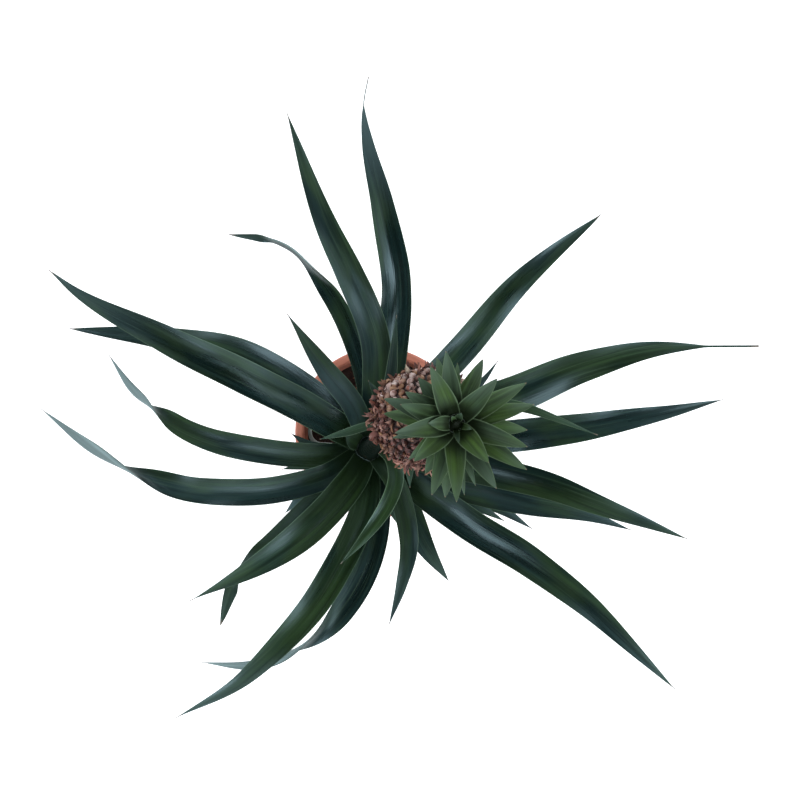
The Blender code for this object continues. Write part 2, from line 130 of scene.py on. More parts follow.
# ---------- pot
# A thin tapered nursery pot, injection-moulded in terracotta-coloured plastic. Its lip turns
# over and hangs as a skirt, two low ridges ring the wall, and eight holes drain the base.
POT_WALL = 1.8 * MM
POT_BASE_RADIUS = 50 * MM
POT_LIP_WIDTH = 7.2 * MM
POT_LIP_DROP = 17 * MM
POT_LIP_ROUND = 2.6 * MM
POT_SKIRT_DRAFT = 0.6 * MM
POT_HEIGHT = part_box("pot")[1].z
POT_RIM_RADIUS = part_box("pot")[1].x
POT_STEPS = 144
RIDGE_PLACES = (30 * MM, 84 * MM)
RIDGE_HEIGHT = 0.5 * MM
RIDGE_WIDTH = 1.6 * MM
DRAIN_HOLES = 8
DRAIN_RADIUS = 2.7 * MM
DRAIN_CIRCLE = 36 * MM
PUNCH_STEPS = 24


def add(tree, kind, values=None, **settings):
    """A shader node with its settings and its input values; a value that is a socket is linked."""
    made = tree.nodes.new(kind)
    for name, value in settings.items():
        setattr(made, name, value)
    for name, value in (values or {}).items():
        socket = made.inputs[name]
        if isinstance(value, bpy.types.NodeSocket):
            tree.links.new(value, socket)
        elif isinstance(value, tuple) and socket.type == "RGBA":
            socket.default_value = (*value, 1)
        else:
            socket.default_value = value
    return made


def mixed(tree, share, first, second):
    """The colour between two, by a share from 0 to 1."""
    return add(tree, "ShaderNodeMix", {0: share, 6: first, 7: second}, data_type="RGBA").outputs[2]


def calculated(tree, operation, *values):
    """The result of one Math node."""
    return add(tree, "ShaderNodeMath", dict(enumerate(values)), operation=operation).outputs[0]


def fitted(tree, value, low, high, to_low=0.0, to_high=1.0):
    """A value brought from one range to another, smoothly and within its limits."""
    numbers = {0: value, 1: low, 2: high, 3: to_low, 4: to_high}
    made = add(tree, "ShaderNodeMapRange", numbers, interpolation_type="SMOOTHSTEP")
    return made.outputs[0]


def noise(tree, place, scale, detail=3.0, rough=0.5):
    """Noise from 0 to 1 at a place."""
    numbers = {"Vector": place, "Scale": scale, "Detail": detail, "Roughness": rough}
    return add(tree, "ShaderNodeTexNoise", numbers).outputs[0]


def new_material(name):
    """A material with its node tree and its Principled shader."""
    material = bpy.data.materials.new(name)
    material.use_nodes = True
    return material, material.node_tree, material.node_tree.nodes["Principled BSDF"]


def surfaced(tree, shader, colour, roughness, height, relief, strength=1.0):
    """Gives the shader a colour, a roughness, and a normal from a height field, in metres."""
    numbers = {"Height": height, "Distance": relief, "Strength": strength}
    normal = add(tree, "ShaderNodeBump", numbers).outputs[0]
    for name, value in (("Base Color", colour), ("Roughness", roughness), ("Normal", normal)):
        tree.links.new(value, shader.inputs[name])


def stored(tree, name):
    """The three numbers of a vector kept at the points of a mesh."""
    vector = add(tree, "ShaderNodeAttribute", attribute_name=name).outputs["Vector"]
    return add(tree, "ShaderNodeSeparateXYZ", {0: vector}).outputs


def object_place(tree):
    """The place on the piece, in metres."""
    return add(tree, "ShaderNodeTexCoord").outputs["Object"]


def new_piece(name, points, faces, material, attributes=None, sharp=40):
    """A smooth mesh piece on the plant's body; attributes are vectors stored at its points."""
    mesh = bpy.data.meshes.new(name)
    mesh.from_pydata(np.reshape(points, (-1, 3)).tolist(), [], faces)
    mesh.shade_smooth()
    mesh.set_sharp_from_angle(angle=math.radians(sharp))
    for label, values in (attributes or {}).items():
        layer = mesh.attributes.new(label, "FLOAT_VECTOR", "POINT")
        layer.data.foreach_set("vector", np.reshape(values, -1).astype(np.float32))
    mesh.materials.append(material)
    piece = placed(name, mesh)
    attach(piece, "root")
    return piece


def skin_faces(rows, around):
    """Faces over a stack of rings, closed at both ends by a fan to two last points.

    Face (i, j) joins points j and j + 1 of ring i to the same two of ring i + 1.
    """
    index = np.arange(rows * around).reshape(rows, around)
    onward = np.roll(index, -1, axis=1)
    sides = np.stack([index[:-1], onward[:-1], onward[1:], index[1:]], axis=-1).reshape(-1, 4)
    foot = np.stack([onward[0], index[0], np.full(around, rows * around)], axis=-1)
    head = np.stack([index[-1], onward[-1], np.full(around, rows * around + 1)], axis=-1)
    return sides.tolist() + foot.tolist() + head.tolist()


def with_ends(rings):
    """The points of a stack of rings, then the mean of its first ring and of its last."""
    ends = np.stack([rings[0].mean(axis=0), rings[-1].mean(axis=0)])
    return np.concatenate([rings.reshape(-1, rings.shape[-1]), ends])


def skinned(name, rings, material, attributes=None, sharp=40):
    """A closed piece over a stack of rings; its attributes are given at the rings' points."""
    vectors = {label: with_ends(values) for label, values in (attributes or {}).items()}
    return new_piece(name, with_ends(rings), skin_faces(*rings.shape[:2]), material, vectors, sharp)


def once_round(steps):
    """Evenly spaced angles, once round."""
    return np.linspace(0, 2 * math.pi, steps, endpoint=False)


def about_z(radius, angle, height):
    """Points at a distance from the Z axis, an angle round it and a height."""
    x, y = radius * np.cos(angle), radius * np.sin(angle)
    return np.stack(np.broadcast_arrays(x, y, height), axis=-1)


def turned_rings(profile, steps):
    """A profile of (radius, height) turned about Z, one ring for each of its points."""
    radius, height = np.asarray(profile, float).T[..., None]
    return about_z(radius, once_round(steps), height)


def arc(centre_r, centre_z, radius, start, end, count):
    """Points (radius, height) along a round corner, between two angles in degrees."""
    angles = np.radians(np.linspace(start, end, count))
    return np.stack([centre_r + radius * np.cos(angles), centre_z + radius * np.sin(angles)], axis=1)


def pot_inner_radius(height):
    """Radius of the pot's inner wall at a height, a straight taper."""
    foot = POT_BASE_RADIUS - POT_WALL
    top = POT_RIM_RADIUS - POT_LIP_WIDTH
    return foot + (top - foot) * (height - POT_WALL) / (POT_HEIGHT - POT_WALL)


def pot_profile():
    """From the underside's centre out, up the wall, round the skirt and lip, and down inside.

    Two low ridges stand on the outer wall, each a bell curve up it.
    """
    lip = POT_LIP_ROUND
    under_lip = POT_HEIGHT - POT_WALL
    skirt_foot = POT_HEIGHT - POT_LIP_DROP
    skirt_inner = POT_RIM_RADIUS - POT_WALL
    skirt_outer = POT_RIM_RADIUS - POT_SKIRT_DRAFT
    height = np.linspace(3 * MM, under_lip - 1 * MM, 80)
    ridges = RIDGE_HEIGHT * sum(np.exp(-((height - z) / RIDGE_WIDTH) ** 2) for z in RIDGE_PLACES)
    outer_wall = np.stack([pot_inner_radius(height) + POT_WALL + ridges, height], axis=1)
    inside = np.linspace(POT_HEIGHT - lip, 4 * MM, 24)
    inner_wall = np.stack([pot_inner_radius(inside), inside], axis=1)
    return np.concatenate([
        [(r * MM, 0) for r in (1, 15, 30, 42, 47)],
        arc(POT_BASE_RADIUS - 2 * MM, 2 * MM, 2 * MM, -90, 0, 6),
        outer_wall,
        [(pot_inner_radius(under_lip) + POT_WALL, under_lip), (skirt_inner - 0.8 * MM, under_lip)],
        [(skirt_inner, under_lip - 1 * MM), (skirt_inner - POT_SKIRT_DRAFT, skirt_foot + 0.6 * MM)],
        arc(skirt_outer - POT_WALL / 2, skirt_foot + 0.9 * MM, 0.9 * MM, -160, 0, 8),
        arc(POT_RIM_RADIUS - lip, POT_HEIGHT - lip, lip, 0, 90, 9),
        arc(pot_inner_radius(POT_HEIGHT) + lip, POT_HEIGHT - lip, lip, 90, 180, 9),
        inner_wall,
        [(pot_inner_radius(POT_WALL) - 1 * MM, POT_WALL), (30 * MM, POT_WALL), (1 * MM, POT_WALL)],
    ])


def terracotta_plastic():
    """Matte reddish plastic: slow tone changes, pale scuffs, dust, and a fine moulded grain."""
    material, tree, shader = new_material("terracotta_plastic")
    place = object_place(tree)
    height = add(tree, "ShaderNodeSeparateXYZ", {0: place}).outputs[2]
    slow = noise(tree, place, 28, 4)
    grain = noise(tree, place, 900, 3)
    scuffs = fitted(tree, noise(tree, place, 160, 6, 0.7), 0.60, 0.74)
    colour = mixed(tree, slow, (0.50, 0.155, 0.095), (0.62, 0.225, 0.150))
    colour = mixed(tree, calculated(tree, "MULTIPLY", scuffs, 0.35), colour, (0.60, 0.36, 0.28))
    earth = calculated(tree, "MULTIPLY", fitted(tree, noise(tree, place, 60, 5), 0.5, 0.75),
                       fitted(tree, height, 0.030, 0.002))
    colour = mixed(tree, calculated(tree, "MULTIPLY", earth, 0.7), colour, (0.10, 0.06, 0.045))
    shader.inputs["Specular IOR Level"].default_value = 0.4
    surfaced(tree, shader, colour, fitted(tree, grain, 0.2, 0.8, 0.42, 0.62),
             calculated(tree, "ADD", grain, slow), 0.12 * MM, 0.5)
    return material


def make_pot():
    """The pot, turned in one piece, its drain holes punched through the base."""
    rings = turned_rings(pot_profile(), POT_STEPS)
    pot = skinned("nursery_pot", rings, terracotta_plastic(), sharp=35)
    punch = turned_rings([(DRAIN_RADIUS, -POT_WALL), (DRAIN_RADIUS, 2 * POT_WALL)], PUNCH_STEPS)
    points = [with_ends(punch + centre) for centre in about_z(DRAIN_CIRCLE, once_round(DRAIN_HOLES), 0)]
    faces = skin_faces(len(punch), PUNCH_STEPS)
    all_faces = [[index + k * len(points[0]) for index in face]
                 for k in range(DRAIN_HOLES) for face in faces]
    cutter_mesh = bpy.data.meshes.new("drain_punch")
    cutter_mesh.from_pydata(np.concatenate(points).tolist(), [], all_faces)
    cutter = placed("drain_punch", cutter_mesh)
    drain = pot.modifiers.new("drain", "BOOLEAN")
    drain.operation = "DIFFERENCE"
    drain.object = cutter
    bpy.context.view_layer.update()
    drilled = bpy.data.meshes.new_from_object(pot.evaluated_get(bpy.context.evaluated_depsgraph_get()))
    pot.modifiers.remove(drain)
    pot.data = drilled
    bpy.data.objects.remove(cutter)
    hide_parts("pot")


make_pot()

# ---------- soil
# Dark peat potting mix, pressed in by hand and sunk a little below the lip, with crumbs of
# peat, chips of bark and a few grains of perlite lying loose on top.
SOIL_HEIGHTS = [(0, 99 * MM), (30 * MM, 98.5 * MM), (48 * MM, 96.5 * MM), (62 * MM, 95 * MM)]
SOIL_EDGE_HEIGHT = 95 * MM
SOIL_STEPS = 200
SOIL_TOP_RINGS = 110
SOIL_GAP = 0.3 * MM
SOIL_FLOOR = 2.1 * MM
CRUMBS = 520
CRUMB_GRID = (4, 6)
CRUMB_REACH = 58 * MM
CRUMBS_CLEAR_OF_STEM = 17 * MM
STEM_CENTRE = np.array([-8, -12, 0]) * MM


def lumps(x, y, size, seed):
    """Uneven ground about 1 high: the sum of 30 cosine waves of like length, each with its
    own direction and phase, over the root of their number."""
    random = np.random.default_rng(seed)
    turn, phase = random.uniform(0, 2 * math.pi, (2, 30))
    length = size * random.uniform(0.6, 1.6, 30)
    waves = (x[..., None] * np.cos(turn) + y[..., None] * np.sin(turn)) * 2 * math.pi / length
    return np.cos(waves + phase).sum(axis=-1) / math.sqrt(30)


def soil_height(x, y):
    """The soil's domed profile plus coarse and fine lumps."""
    radii, heights = np.array(SOIL_HEIGHTS).T
    dome = np.interp(np.hypot(x, y), radii, heights)
    return dome + 0.5 * MM * lumps(x, y, 11 * MM, 3) + 0.35 * MM * lumps(x, y, 3.4 * MM, 4)


def potting_mix(name, dark, brown, pale):
    """Matte crumbs; each crumb's own chance picks it dark, brown or nearly white."""
    material, tree, shader = new_material(name)
    place = object_place(tree)
    own = stored(tree, "chance")[0]
    fine = noise(tree, place, 1400, 4, 0.7)
    coarse = noise(tree, place, 260, 3)
    colour = mixed(tree, fine, dark, brown)
    colour = mixed(tree, fitted(tree, own, 0.45, 0.9), colour, (0.16, 0.075, 0.045))
    colour = mixed(tree, fitted(tree, own, 0.955, 0.965), colour, pale)
    colour = mixed(tree, fitted(tree, coarse, 0.55, 0.75, 0, 0.5), colour, dark)
    shader.inputs["Specular IOR Level"].default_value = 0.2
    surfaced(tree, shader, colour, fitted(tree, fine, 0, 1, 0.8, 1.0),
             calculated(tree, "ADD", fine, coarse), 0.7 * MM)
    return material


def unit(vectors):
    """Vectors brought to length 1."""
    return vectors / np.linalg.norm(vectors, axis=-1, keepdims=True)


def frames_from(normals, spins):
    """Turning matrices whose third column is the given normal, each spun about it."""
    normals = unit(normals)
    other = np.where(np.abs(normals[:, 2:3]) < 0.9, [[0, 0, 1.0]], [[1.0, 0, 0]])
    first = unit(np.cross(other, normals))
    second = np.cross(normals, first)
    cos, sin = np.cos(spins)[:, None], np.sin(spins)[:, None]
    return np.stack([first * cos + second * sin, second * cos - first * sin, normals], axis=2)


def scattered(name, shapes, faces, frames, places, chances, material):
    """Many small closed shapes in one mesh: shape k is turned by frame k and moved to place k."""
    points = np.einsum("kij,knj->kni", frames, shapes) + places[:, None]
    count, each = points.shape[:2]
    chance = np.broadcast_to(chances.reshape(count, -1, 3), points.shape)
    all_faces = []
    for size in sorted({len(face) for face in faces}):
        some = np.array([face for face in faces if len(face) == size])
        all_faces += (some[None] + each * np.arange(count)[:, None, None]).reshape(-1, size).tolist()
    return new_piece(name, points, all_faces, material, {"chance": chance}, sharp=60)


def make_soil(mix):
    """The soil: over the pot's floor, up its wall, and in across the uneven top."""
    edge = pot_inner_radius(SOIL_EDGE_HEIGHT) - SOIL_GAP
    shares = np.linspace(0.01, 1, SOIL_TOP_RINGS)[:, None]
    top = about_z(edge * shares, once_round(SOIL_STEPS), 0)
    top[..., 2] = soil_height(top[..., 0], top[..., 1])
    walls = [(pot_inner_radius(h * MM) - SOIL_GAP, h * MM) for h in (4, 40, 70, 91)]
    sides = turned_rings([(1 * MM, SOIL_FLOOR), (44 * MM, SOIL_FLOOR)] + walls, SOIL_STEPS)
    rings = np.concatenate([sides, top[::-1]])
    soil = skinned("potting_soil", rings, mix, sharp=60)
    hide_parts("soil")


def make_crumbs(mix):
    """Crumbs: small balls, roughened, stretched and turned by chance, spread evenly over the
    soil but for the stem's place."""
    random = np.random.default_rng(7)
    size = random.gamma(4, 0.32, CRUMBS)[:, None, None] * MM
    rows, around = CRUMB_GRID
    polar = np.linspace(0.5, math.pi - 0.5, rows)
    ball = with_ends(turned_rings(np.stack([np.sin(polar), -np.cos(polar)], axis=1), around))
    rough = random.uniform(0.65, 1.25, (CRUMBS, len(ball), 1))
    stretch = random.uniform(0.5, 1.7, (CRUMBS, 1, 3))
    shapes = ball[None] * rough * stretch * size
    reach = CRUMB_REACH * np.sqrt(random.uniform(0, 1, CRUMBS))
    heading = random.uniform(0, 2 * math.pi, CRUMBS)
    x, y = reach * np.cos(heading), reach * np.sin(heading)
    places = np.stack([x, y, soil_height(x, y) + 0.35 * size[:, 0, 0]], axis=1)
    clear = np.hypot(x - STEM_CENTRE[0], y - STEM_CENTRE[1]) > CRUMBS_CLEAR_OF_STEM
    frames = frames_from(random.normal(0, 1, (CRUMBS, 3)), random.uniform(0, 6, CRUMBS))
    chance = np.repeat(random.uniform(0, 1, (CRUMBS, 1)), 3, axis=1)
    crumbs = scattered("soil_crumbs", shapes[clear], skin_faces(rows, around), frames[clear],
                       places[clear], chance[clear], mix)


peat = potting_mix("potting_mix", (0.012, 0.007, 0.007), (0.055, 0.028, 0.020), (0.5, 0.48, 0.44))
make_soil(peat)
make_crumbs(peat)

# ---------- stem
# A stout upright stem, ringed by the scars of old leaves, which becomes the thinner fruit
# stalk and leans towards +X under the fruit's weight. Fleshy, brown at its foot, and dark
# green painted nearly black: painted shade under the fruit and the leaves.
STEM_RADIUS = 15 * MM
SHOULDER_RADIUS = 8 * MM
STEM_FOOT = 82 * MM
STEM_SHOULDER = 172 * MM
FIRST_LEAF_HEIGHT = 103 * MM
SCAR_DEPTH = 0.35 * MM
SCAR_SPACING = 7 * MM
STEM_FLUTES = 11
FLUTE_DEPTH = 0.12 * MM
STEM_STEPS = 40
STEM_RINGS = 60
STALK_RINGS = 70
NECK_SHARE = 0.16
STALK_RADIUS = 6.5 * MM
STALK_TOP_RADIUS = 8.5 * MM
FRUIT_BASE = np.array([23, 11, 300]) * MM
FRUIT_TOP = np.array([52, 11.5, 380]) * MM
FRUIT_AXIS = unit(FRUIT_TOP - FRUIT_BASE)
UP = np.array([0.0, 0, 1])


def stalk_points(t):
    """Centre of the fruit stalk: a cubic Bezier from the stem's shoulder to the fruit."""
    t = np.asarray(t, float)[..., None]
    start = STEM_CENTRE + STEM_SHOULDER * UP
    end = FRUIT_BASE - FRUIT_AXIS * 0.6 * MM
    first, second = start + np.array([4, 2, 38]) * MM, end - FRUIT_AXIS * 45 * MM
    u = 1 - t
    return u ** 3 * start + 3 * u * u * t * first + 3 * u * t * t * second + t ** 3 * end


def walked_along(points):
    """Distance walked from the first point to each of the points."""
    return np.concatenate([[0], np.linalg.norm(np.diff(points, axis=0), axis=1).cumsum()])


def stem_radius(height):
    """The stem narrows from its lowest leaf to its shoulder."""
    share = np.clip((height - FIRST_LEAF_HEIGHT) / (STEM_SHOULDER - FIRST_LEAF_HEIGHT), 0, 1)
    return STEM_RADIUS + (SHOULDER_RADIUS - STEM_RADIUS) * share


def stem_tissue():
    """Fleshy skin with fibres running up it, brown at its foot and in patches; its dark green is
    painted nearly black, painted shade under the fruit and the leaves.
    """
    material, tree, shader = new_material("stem_tissue")
    place = object_place(tree)
    height = add(tree, "ShaderNodeSeparateXYZ", {0: place}).outputs[2]
    long_grain = add(tree, "ShaderNodeMapping", {"Vector": place, "Scale": (1, 1, 0.12)}).outputs[0]
    fibres = noise(tree, long_grain, 900, 4, 0.6)
    # Painted shade: the stem's green is darkened nearly to black for the shade under the fruit and the
    # leaves.
    colour = mixed(tree, fibres, (0.003, 0.008, 0.005), (0.006, 0.015, 0.010))
    colour = mixed(tree, fitted(tree, height, 0.17, 0.10), colour, (0.020, 0.016, 0.008))
    colour = mixed(tree, fitted(tree, noise(tree, place, 240, 4), 0.55, 0.75, 0, 0.6), colour,
                   (0.030, 0.020, 0.010))
    shader.inputs["Specular IOR Level"].default_value = 0.15
    surfaced(tree, shader, colour, fitted(tree, fibres, 0, 1, 0.5, 0.75), fibres, 0.25 * MM)
    return material


def make_stem():
    """Stem and stalk as rings along one path, pinched at the scars and finely fluted.

    The stalk widens with t^3 towards the fruit, and its neck fades out as a square.
    """
    lower = np.linspace(STEM_FOOT, STEM_SHOULDER, STEM_RINGS)
    t = np.linspace(0, 1, STALK_RINGS)[1:]
    centres = np.concatenate([STEM_CENTRE + lower[:, None] * UP, stalk_points(t)])
    neck = np.clip(1 - t / NECK_SHARE, 0, 1) ** 2
    stalk = STALK_RADIUS + (STALK_TOP_RADIUS - STALK_RADIUS) * t ** 3
    radii = np.concatenate([stem_radius(lower), stalk + (SHOULDER_RADIUS - STALK_RADIUS) * neck])
    walked = walked_along(centres)
    scars = SCAR_DEPTH * np.abs(np.sin(walked * math.pi / SCAR_SPACING)) ** 6
    tangent = unit(np.gradient(centres, axis=0))
    first = unit(np.cross([[0, 1.0, 0]], tangent))
    second = np.cross(tangent, first)
    angles = once_round(STEM_STEPS)
    radius = (radii - scars)[:, None] + FLUTE_DEPTH * np.cos(STEM_FLUTES * angles)
    rings = (centres[:, None] + first[:, None] * (radius * np.cos(angles))[..., None]
             + second[:, None] * (radius * np.sin(angles))[..., None])
    stem = skinned("plant_stem", rings, stem_tissue())
    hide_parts("stem")


make_stem()

# ---------- long leaves
# The rosette: tough fibrous leaves, channelled like gutters, which clasp the stem and nest
# in a spiral. Dark green and waxy above, pale with scales below, with thin pale margins.
LEAF_THICKNESS = 1.3 * MM
LEAF_STEP = 2.6 * MM
LEAF_STATIONS = 84
LEAF_ACROSS = 17
CHANNEL_DEPTH = 0.14
MARGIN_WAVE = 0.5 * MM
MARGIN_RIPPLES = (9 * MM, 14 * MM, 6 * MM)
WAVY_HALF_WIDTH = 12 * MM
THIN_HALF_WIDTH = 3 * MM
WRAP_SHARE = 4.3
CLASP = 0.45
LEAF_SWAY = math.radians(3.5)
SWAY_RIPPLES = (24 * MM, 11 * MM)
STEM_GAP = 0.2 * MM
LEAF_FOOT_GAP = 0.3 * MM
FIRST_RISE, RISE_STEP = 0.6, 0.026
FIRST_FALL, FALL_STEP = 0.45, 0.012

# Plan points from the stem outwards and full width in mm, slope at the base and its fall
# along the leaf, the share that is a thread-thin dry tip, the twist as (share of the length,
# degrees) stations, the tone from blue-green (0) to yellow-green (1), the satin of the wax
# (0 matt, 1 smooth), the power of the taper (above 1 the leaf narrows sooner), how far the
# tip fades to grey-green, and the half-width of the narrowest part in mm.
Leaf = namedtuple("Leaf", "plan width rise fall thread twist tone satin taper fade hair",
                  defaults=(None, None, 0.0, (), 0.5, 0.5, 1.0, 0.2, 0.3))

LONG_LEAVES = [
    Leaf([(-35, -15), (-55, -12), (-73, -1)], 11, rise=0.7),
    Leaf([(60, -43), (95, -60), (125, -79)], 17),
    Leaf([(-48, -36), (-78, -66.5)], 15, tone=0.4, fade=0.9),
    Leaf([(-12, 45), (-29.5, 94.5), (-56, 133.8), (-81, 153), (-121.5, 160)], 16.3,
         twist=((0.05, 0), (0.22, -8), (0.5, -12), (0.73, -88), (0.83, -86), (0.90, -10)),
         tone=0.4, satin=1.2, taper=0.75, fade=0.35),
    Leaf([(16, -50), (36.3, -91), (56.3, -121)], 22.5, tone=0.6),
    Leaf([(-50, -24), (-80, -30)], 11),
    Leaf([(60, -5), (133, 1), (215, 15), (272.5, 27)], 26, tone=0.2, satin=1.0),
    Leaf([(-60, 34.5), (-110, 62.7), (-168, 74.8), (-245, 83)], 25.5, tone=0.35, satin=1.1,
         taper=0.9),
    Leaf([(-42, -47), (-79.5, -83.5), (-112.3, -115), (-126.8, -153)], 20.5,
         twist=((0.55, 0), (0.75, 62), (0.85, 0)), tone=0.8, taper=0.7),
    Leaf([(50, -42), (101, -71)], 17),
    Leaf([(8.5, 55), (12.6, 118), (2.9, 175), (-8, 222), (-11.7, 253), (-8, 278)], 25, thread=0.08,
         tone=0.3, satin=1.2, taper=0.78, fade=1.0, hair=0.42,
         twist=((0.1, 0), (0.5, 12), (0.8, 12))),
    Leaf([(-1, -60), (-6.8, -97), (-24.5, -132.2), (-54.5, -161.3), (-95, -178.5), (-138.5, -178)],
         20.5, twist=((0.45, 0), (0.9, -170)), tone=0.1, satin=0.9),
    Leaf([(50, 10), (105, 31), (160, 52.8), (215, 65.8), (292, 68)], 30, thread=0.12, tone=0.75,
         satin=0.8, hair=0.85),
    Leaf([(-50, -18), (-105, -11), (-149, 3.6), (-186, 29.8), (-210.3, 62)], 20,
         twist=((0.62, 0), (0.88, 165)), tone=0.45, satin=0.8),
    Leaf([(-12, -60), (-29, -97.5), (-55, -138), (-103, -186.3), (-156.3, -218)], 23, tone=0.8,
         satin=0.95, taper=1.12, fade=0.6),
    Leaf([(50, -38), (115, -53), (160, -62), (196, -74.3)], 22.5, tone=0.4),
    Leaf([(28, 27), (63, 63.6), (111.6, 119.8), (170.5, 168.7)], 23, satin=1.1, taper=0.85),
    Leaf([(-45, -35), (-95, -44.5), (-149, -40), (-198, -21.8), (-256, 20)], 21,
         twist=((0.49, 0), (0.89, 175)), tone=0.15, satin=0.9),
    Leaf([(28, -40), (66.3, -66.7), (116, -96.4), (160.8, -130.9), (223.6, -191.2)], 25, tone=0.35,
         satin=1.0),
    Leaf([(-2, 38), (-3.5, 76), (-21.3, 122), (-43, 168), (-68.7, 243)], 23, satin=0.65, fade=0.1),
    Leaf([(-37, 8), (-80, 33.2), (-153, 69), (-216, 101.5), (-247, 124.3)], 26, tone=0.45,
         satin=1.05, fade=0.5),
    Leaf([(50, -22), (117, -35), (163, -51), (233, -78)], 23, tone=0.75, satin=0.8),
    Leaf([(-22, -38), (-50, -69.5), (-91.5, -99), (-144, -126.7)], 25, tone=0.75, satin=0.75,
         taper=1.35),
    Leaf([(-21, 24), (-41.6, 51), (-71.3, 94)], 18, tone=0.6, satin=0.0, taper=1.25),
    Leaf([(14.5, -42), (23.3, -81), (17.5, -115), (8, -146)], 16, tone=0.6),
]

# Short leaves between those, one at the stem's shoulder and one at its foot: heading, reach
# from the stem's centre, height, rise and fall
YOUNG_LEAVES = [(152, 21, 168, 1.3, 0.5), (-69.5, 71, 107, 0.62, 0.45)]
YOUNG_LEAF_WIDTH = 15


def pointing(heading):
    """The level direction at a heading in degrees, counted from +X towards +Y."""
    return about_z(1.0, math.radians(heading), 0)


def smooth_step(start, end, value):
    """0 below the start, 1 above the end, and 3x^2 - 2x^3 between."""
    x = np.clip((value - start) / (end - start), 0, 1)
    return x * x * (3 - 2 * x)


def smooth_route(points, count):
    """Evenly spaced points on a smooth curve through the given ones, and its length.

    Between b and c, with a before and d after, the curve is the Catmull-Rom cubic
    0.5 (2b + (c - a) t + (2a - 5b + 4c - d) t^2 + (3b - a - 3c + d) t^3).
    """
    points = np.asarray(points, float)
    ends = np.vstack([2 * points[0] - points[1], points, 2 * points[-1] - points[-2]])
    a, b, c, d = (ends[i:len(ends) - 3 + i, None] for i in range(4))
    t = np.linspace(0, 1, 40, endpoint=False)[None, :, None]
    fine = 0.5 * (2 * b + (c - a) * t + (2 * a - 5 * b + 4 * c - d) * t ** 2
                  + (3 * b - a - 3 * c + d) * t ** 3)
    fine = np.vstack([fine.reshape(-1, 3), points[-1]])
    walked = walked_along(fine)
    wanted = np.linspace(0, walked[-1], count)
    return np.stack([np.interp(wanted, walked, fine[:, k]) for k in range(3)], axis=1), walked[-1]


def square_to(vectors, axis):
    """The part of vectors that is square to an axis."""
    return vectors - (vectors @ axis)[..., None] * axis


def blade(route, half_widths, rolls, axis_point, axis, wrap_reach, thickness, seed,
          hollow=CHANNEL_DEPTH, across=LEAF_ACROSS, wave=MARGIN_WAVE):
    """Rings of a channelled leaf along a route, with the vectors that its material reads.

    A point at share s across, from 1 to -1, lies s half-widths to the side and rises by
    the channel's depth times |s|^1.7, plus a small wave along the margins. Near the stem
    its distance from the axis is drawn in towards the midrib's and it is lifted with the
    leaf's slope, so that the bases clasp the stem and nest like cones. The lower side lies
    a thickness below, which thins towards the margins as 1 - s^4 and where the leaf is narrow.
    """
    random = np.random.default_rng(seed)
    rows = len(route)
    tangent = unit(np.gradient(route, axis=0))
    side = unit(np.stack([-tangent[:, 1], tangent[:, 0], np.zeros(rows)], axis=1))
    above = np.cross(tangent, side)
    cos, sin = np.cos(rolls)[:, None], np.sin(rolls)[:, None]
    side, above = side * cos + above * sin, above * cos - side * sin
    reach = np.linalg.norm(square_to(route - axis_point, axis), axis=1)
    nested = 1 - smooth_step(0.25 * wrap_reach, wrap_reach, reach)
    flat_run = np.linalg.norm(square_to(tangent, axis), axis=1)
    slope = (tangent @ axis) / np.maximum(flat_run, 0.05)
    s = np.linspace(1, -1, across)
    walked = walked_along(route)
    phases = random.uniform(0, 2 * math.pi, 4)
    ripple = sum(np.sin(walked / length + phase)
                 for length, phase in zip(MARGIN_RIPPLES, phases)) / len(MARGIN_RIPPLES)
    rise = (2 * hollow * half_widths * (1 - nested))[:, None] * np.abs(s) ** 1.7
    rise = rise + wave * (half_widths / WAVY_HALF_WIDTH * ripple * (1 - nested))[:, None] * s ** 3
    top = (route[:, None] + side[:, None] * (half_widths[:, None] * s)[..., None]
           + above[:, None] * rise[..., None])
    spoke = square_to(top - axis_point, axis)
    out = np.maximum(np.linalg.norm(spoke, axis=-1), 0.1 * MM)
    clasp = (CLASP * nested)[:, None]
    drawn = clasp * reach[:, None] + (1 - clasp) * out
    lift = (nested * slope)[:, None] * (drawn - reach[:, None])
    top = top - spoke * (1 - drawn / out)[..., None] + lift[..., None] * axis
    facing = unit(np.cross(np.gradient(top, axis=1), np.gradient(top, axis=0)))
    taper = np.minimum(1, half_widths / THIN_HALF_WIDTH)[:, None] * (1 - s ** 4)
    under = (top - facing * (thickness * taper)[..., None])[:, -2:0:-1]
    rings = np.concatenate([top, under], axis=1)
    shares = np.concatenate([s, s[-2:0:-1]])
    below = np.concatenate([np.zeros(across), np.ones(across - 2)])
    along = np.linspace(0, 1, rows)
    lie = np.stack(np.broadcast_arrays(shares[None], along[:, None], below[None]), axis=-1)
    run = np.stack(np.broadcast_arrays(half_widths[:, None] * shares, walked[:, None],
                                       np.array([[seed % 97 + 0.5]])), axis=-1)
    return rings, {"lie": lie, "run": run}


def lengthwise_grain():
    """Node group: fine veins, broader streaks and slow patches that run along a leaf.

    Each is noise on the distances across and along the leaf, stretched lengthwise.
    """
    group = bpy.data.node_groups.new("lengthwise_grain", "ShaderNodeTree")
    group.interface.new_socket("Run", in_out="INPUT", socket_type="NodeSocketVector")
    for name in ("Veins", "Streaks", "Patches"):
        group.interface.new_socket(name, in_out="OUTPUT", socket_type="NodeSocketFloat")
    run = add(group, "NodeGroupInput").outputs["Run"]
    out = group.nodes.new("NodeGroupOutput")
    for name, scale, detail in (("Veins", (1500, 14, 7), 2.0), ("Streaks", (330, 9, 3), 3.0),
                                ("Patches", (42, 11, 2), 3.0)):
        stretched = add(group, "ShaderNodeMapping", {"Vector": run, "Scale": scale}).outputs[0]
        group.links.new(noise(group, stretched, 1.0, detail), out.inputs[name])
    return group


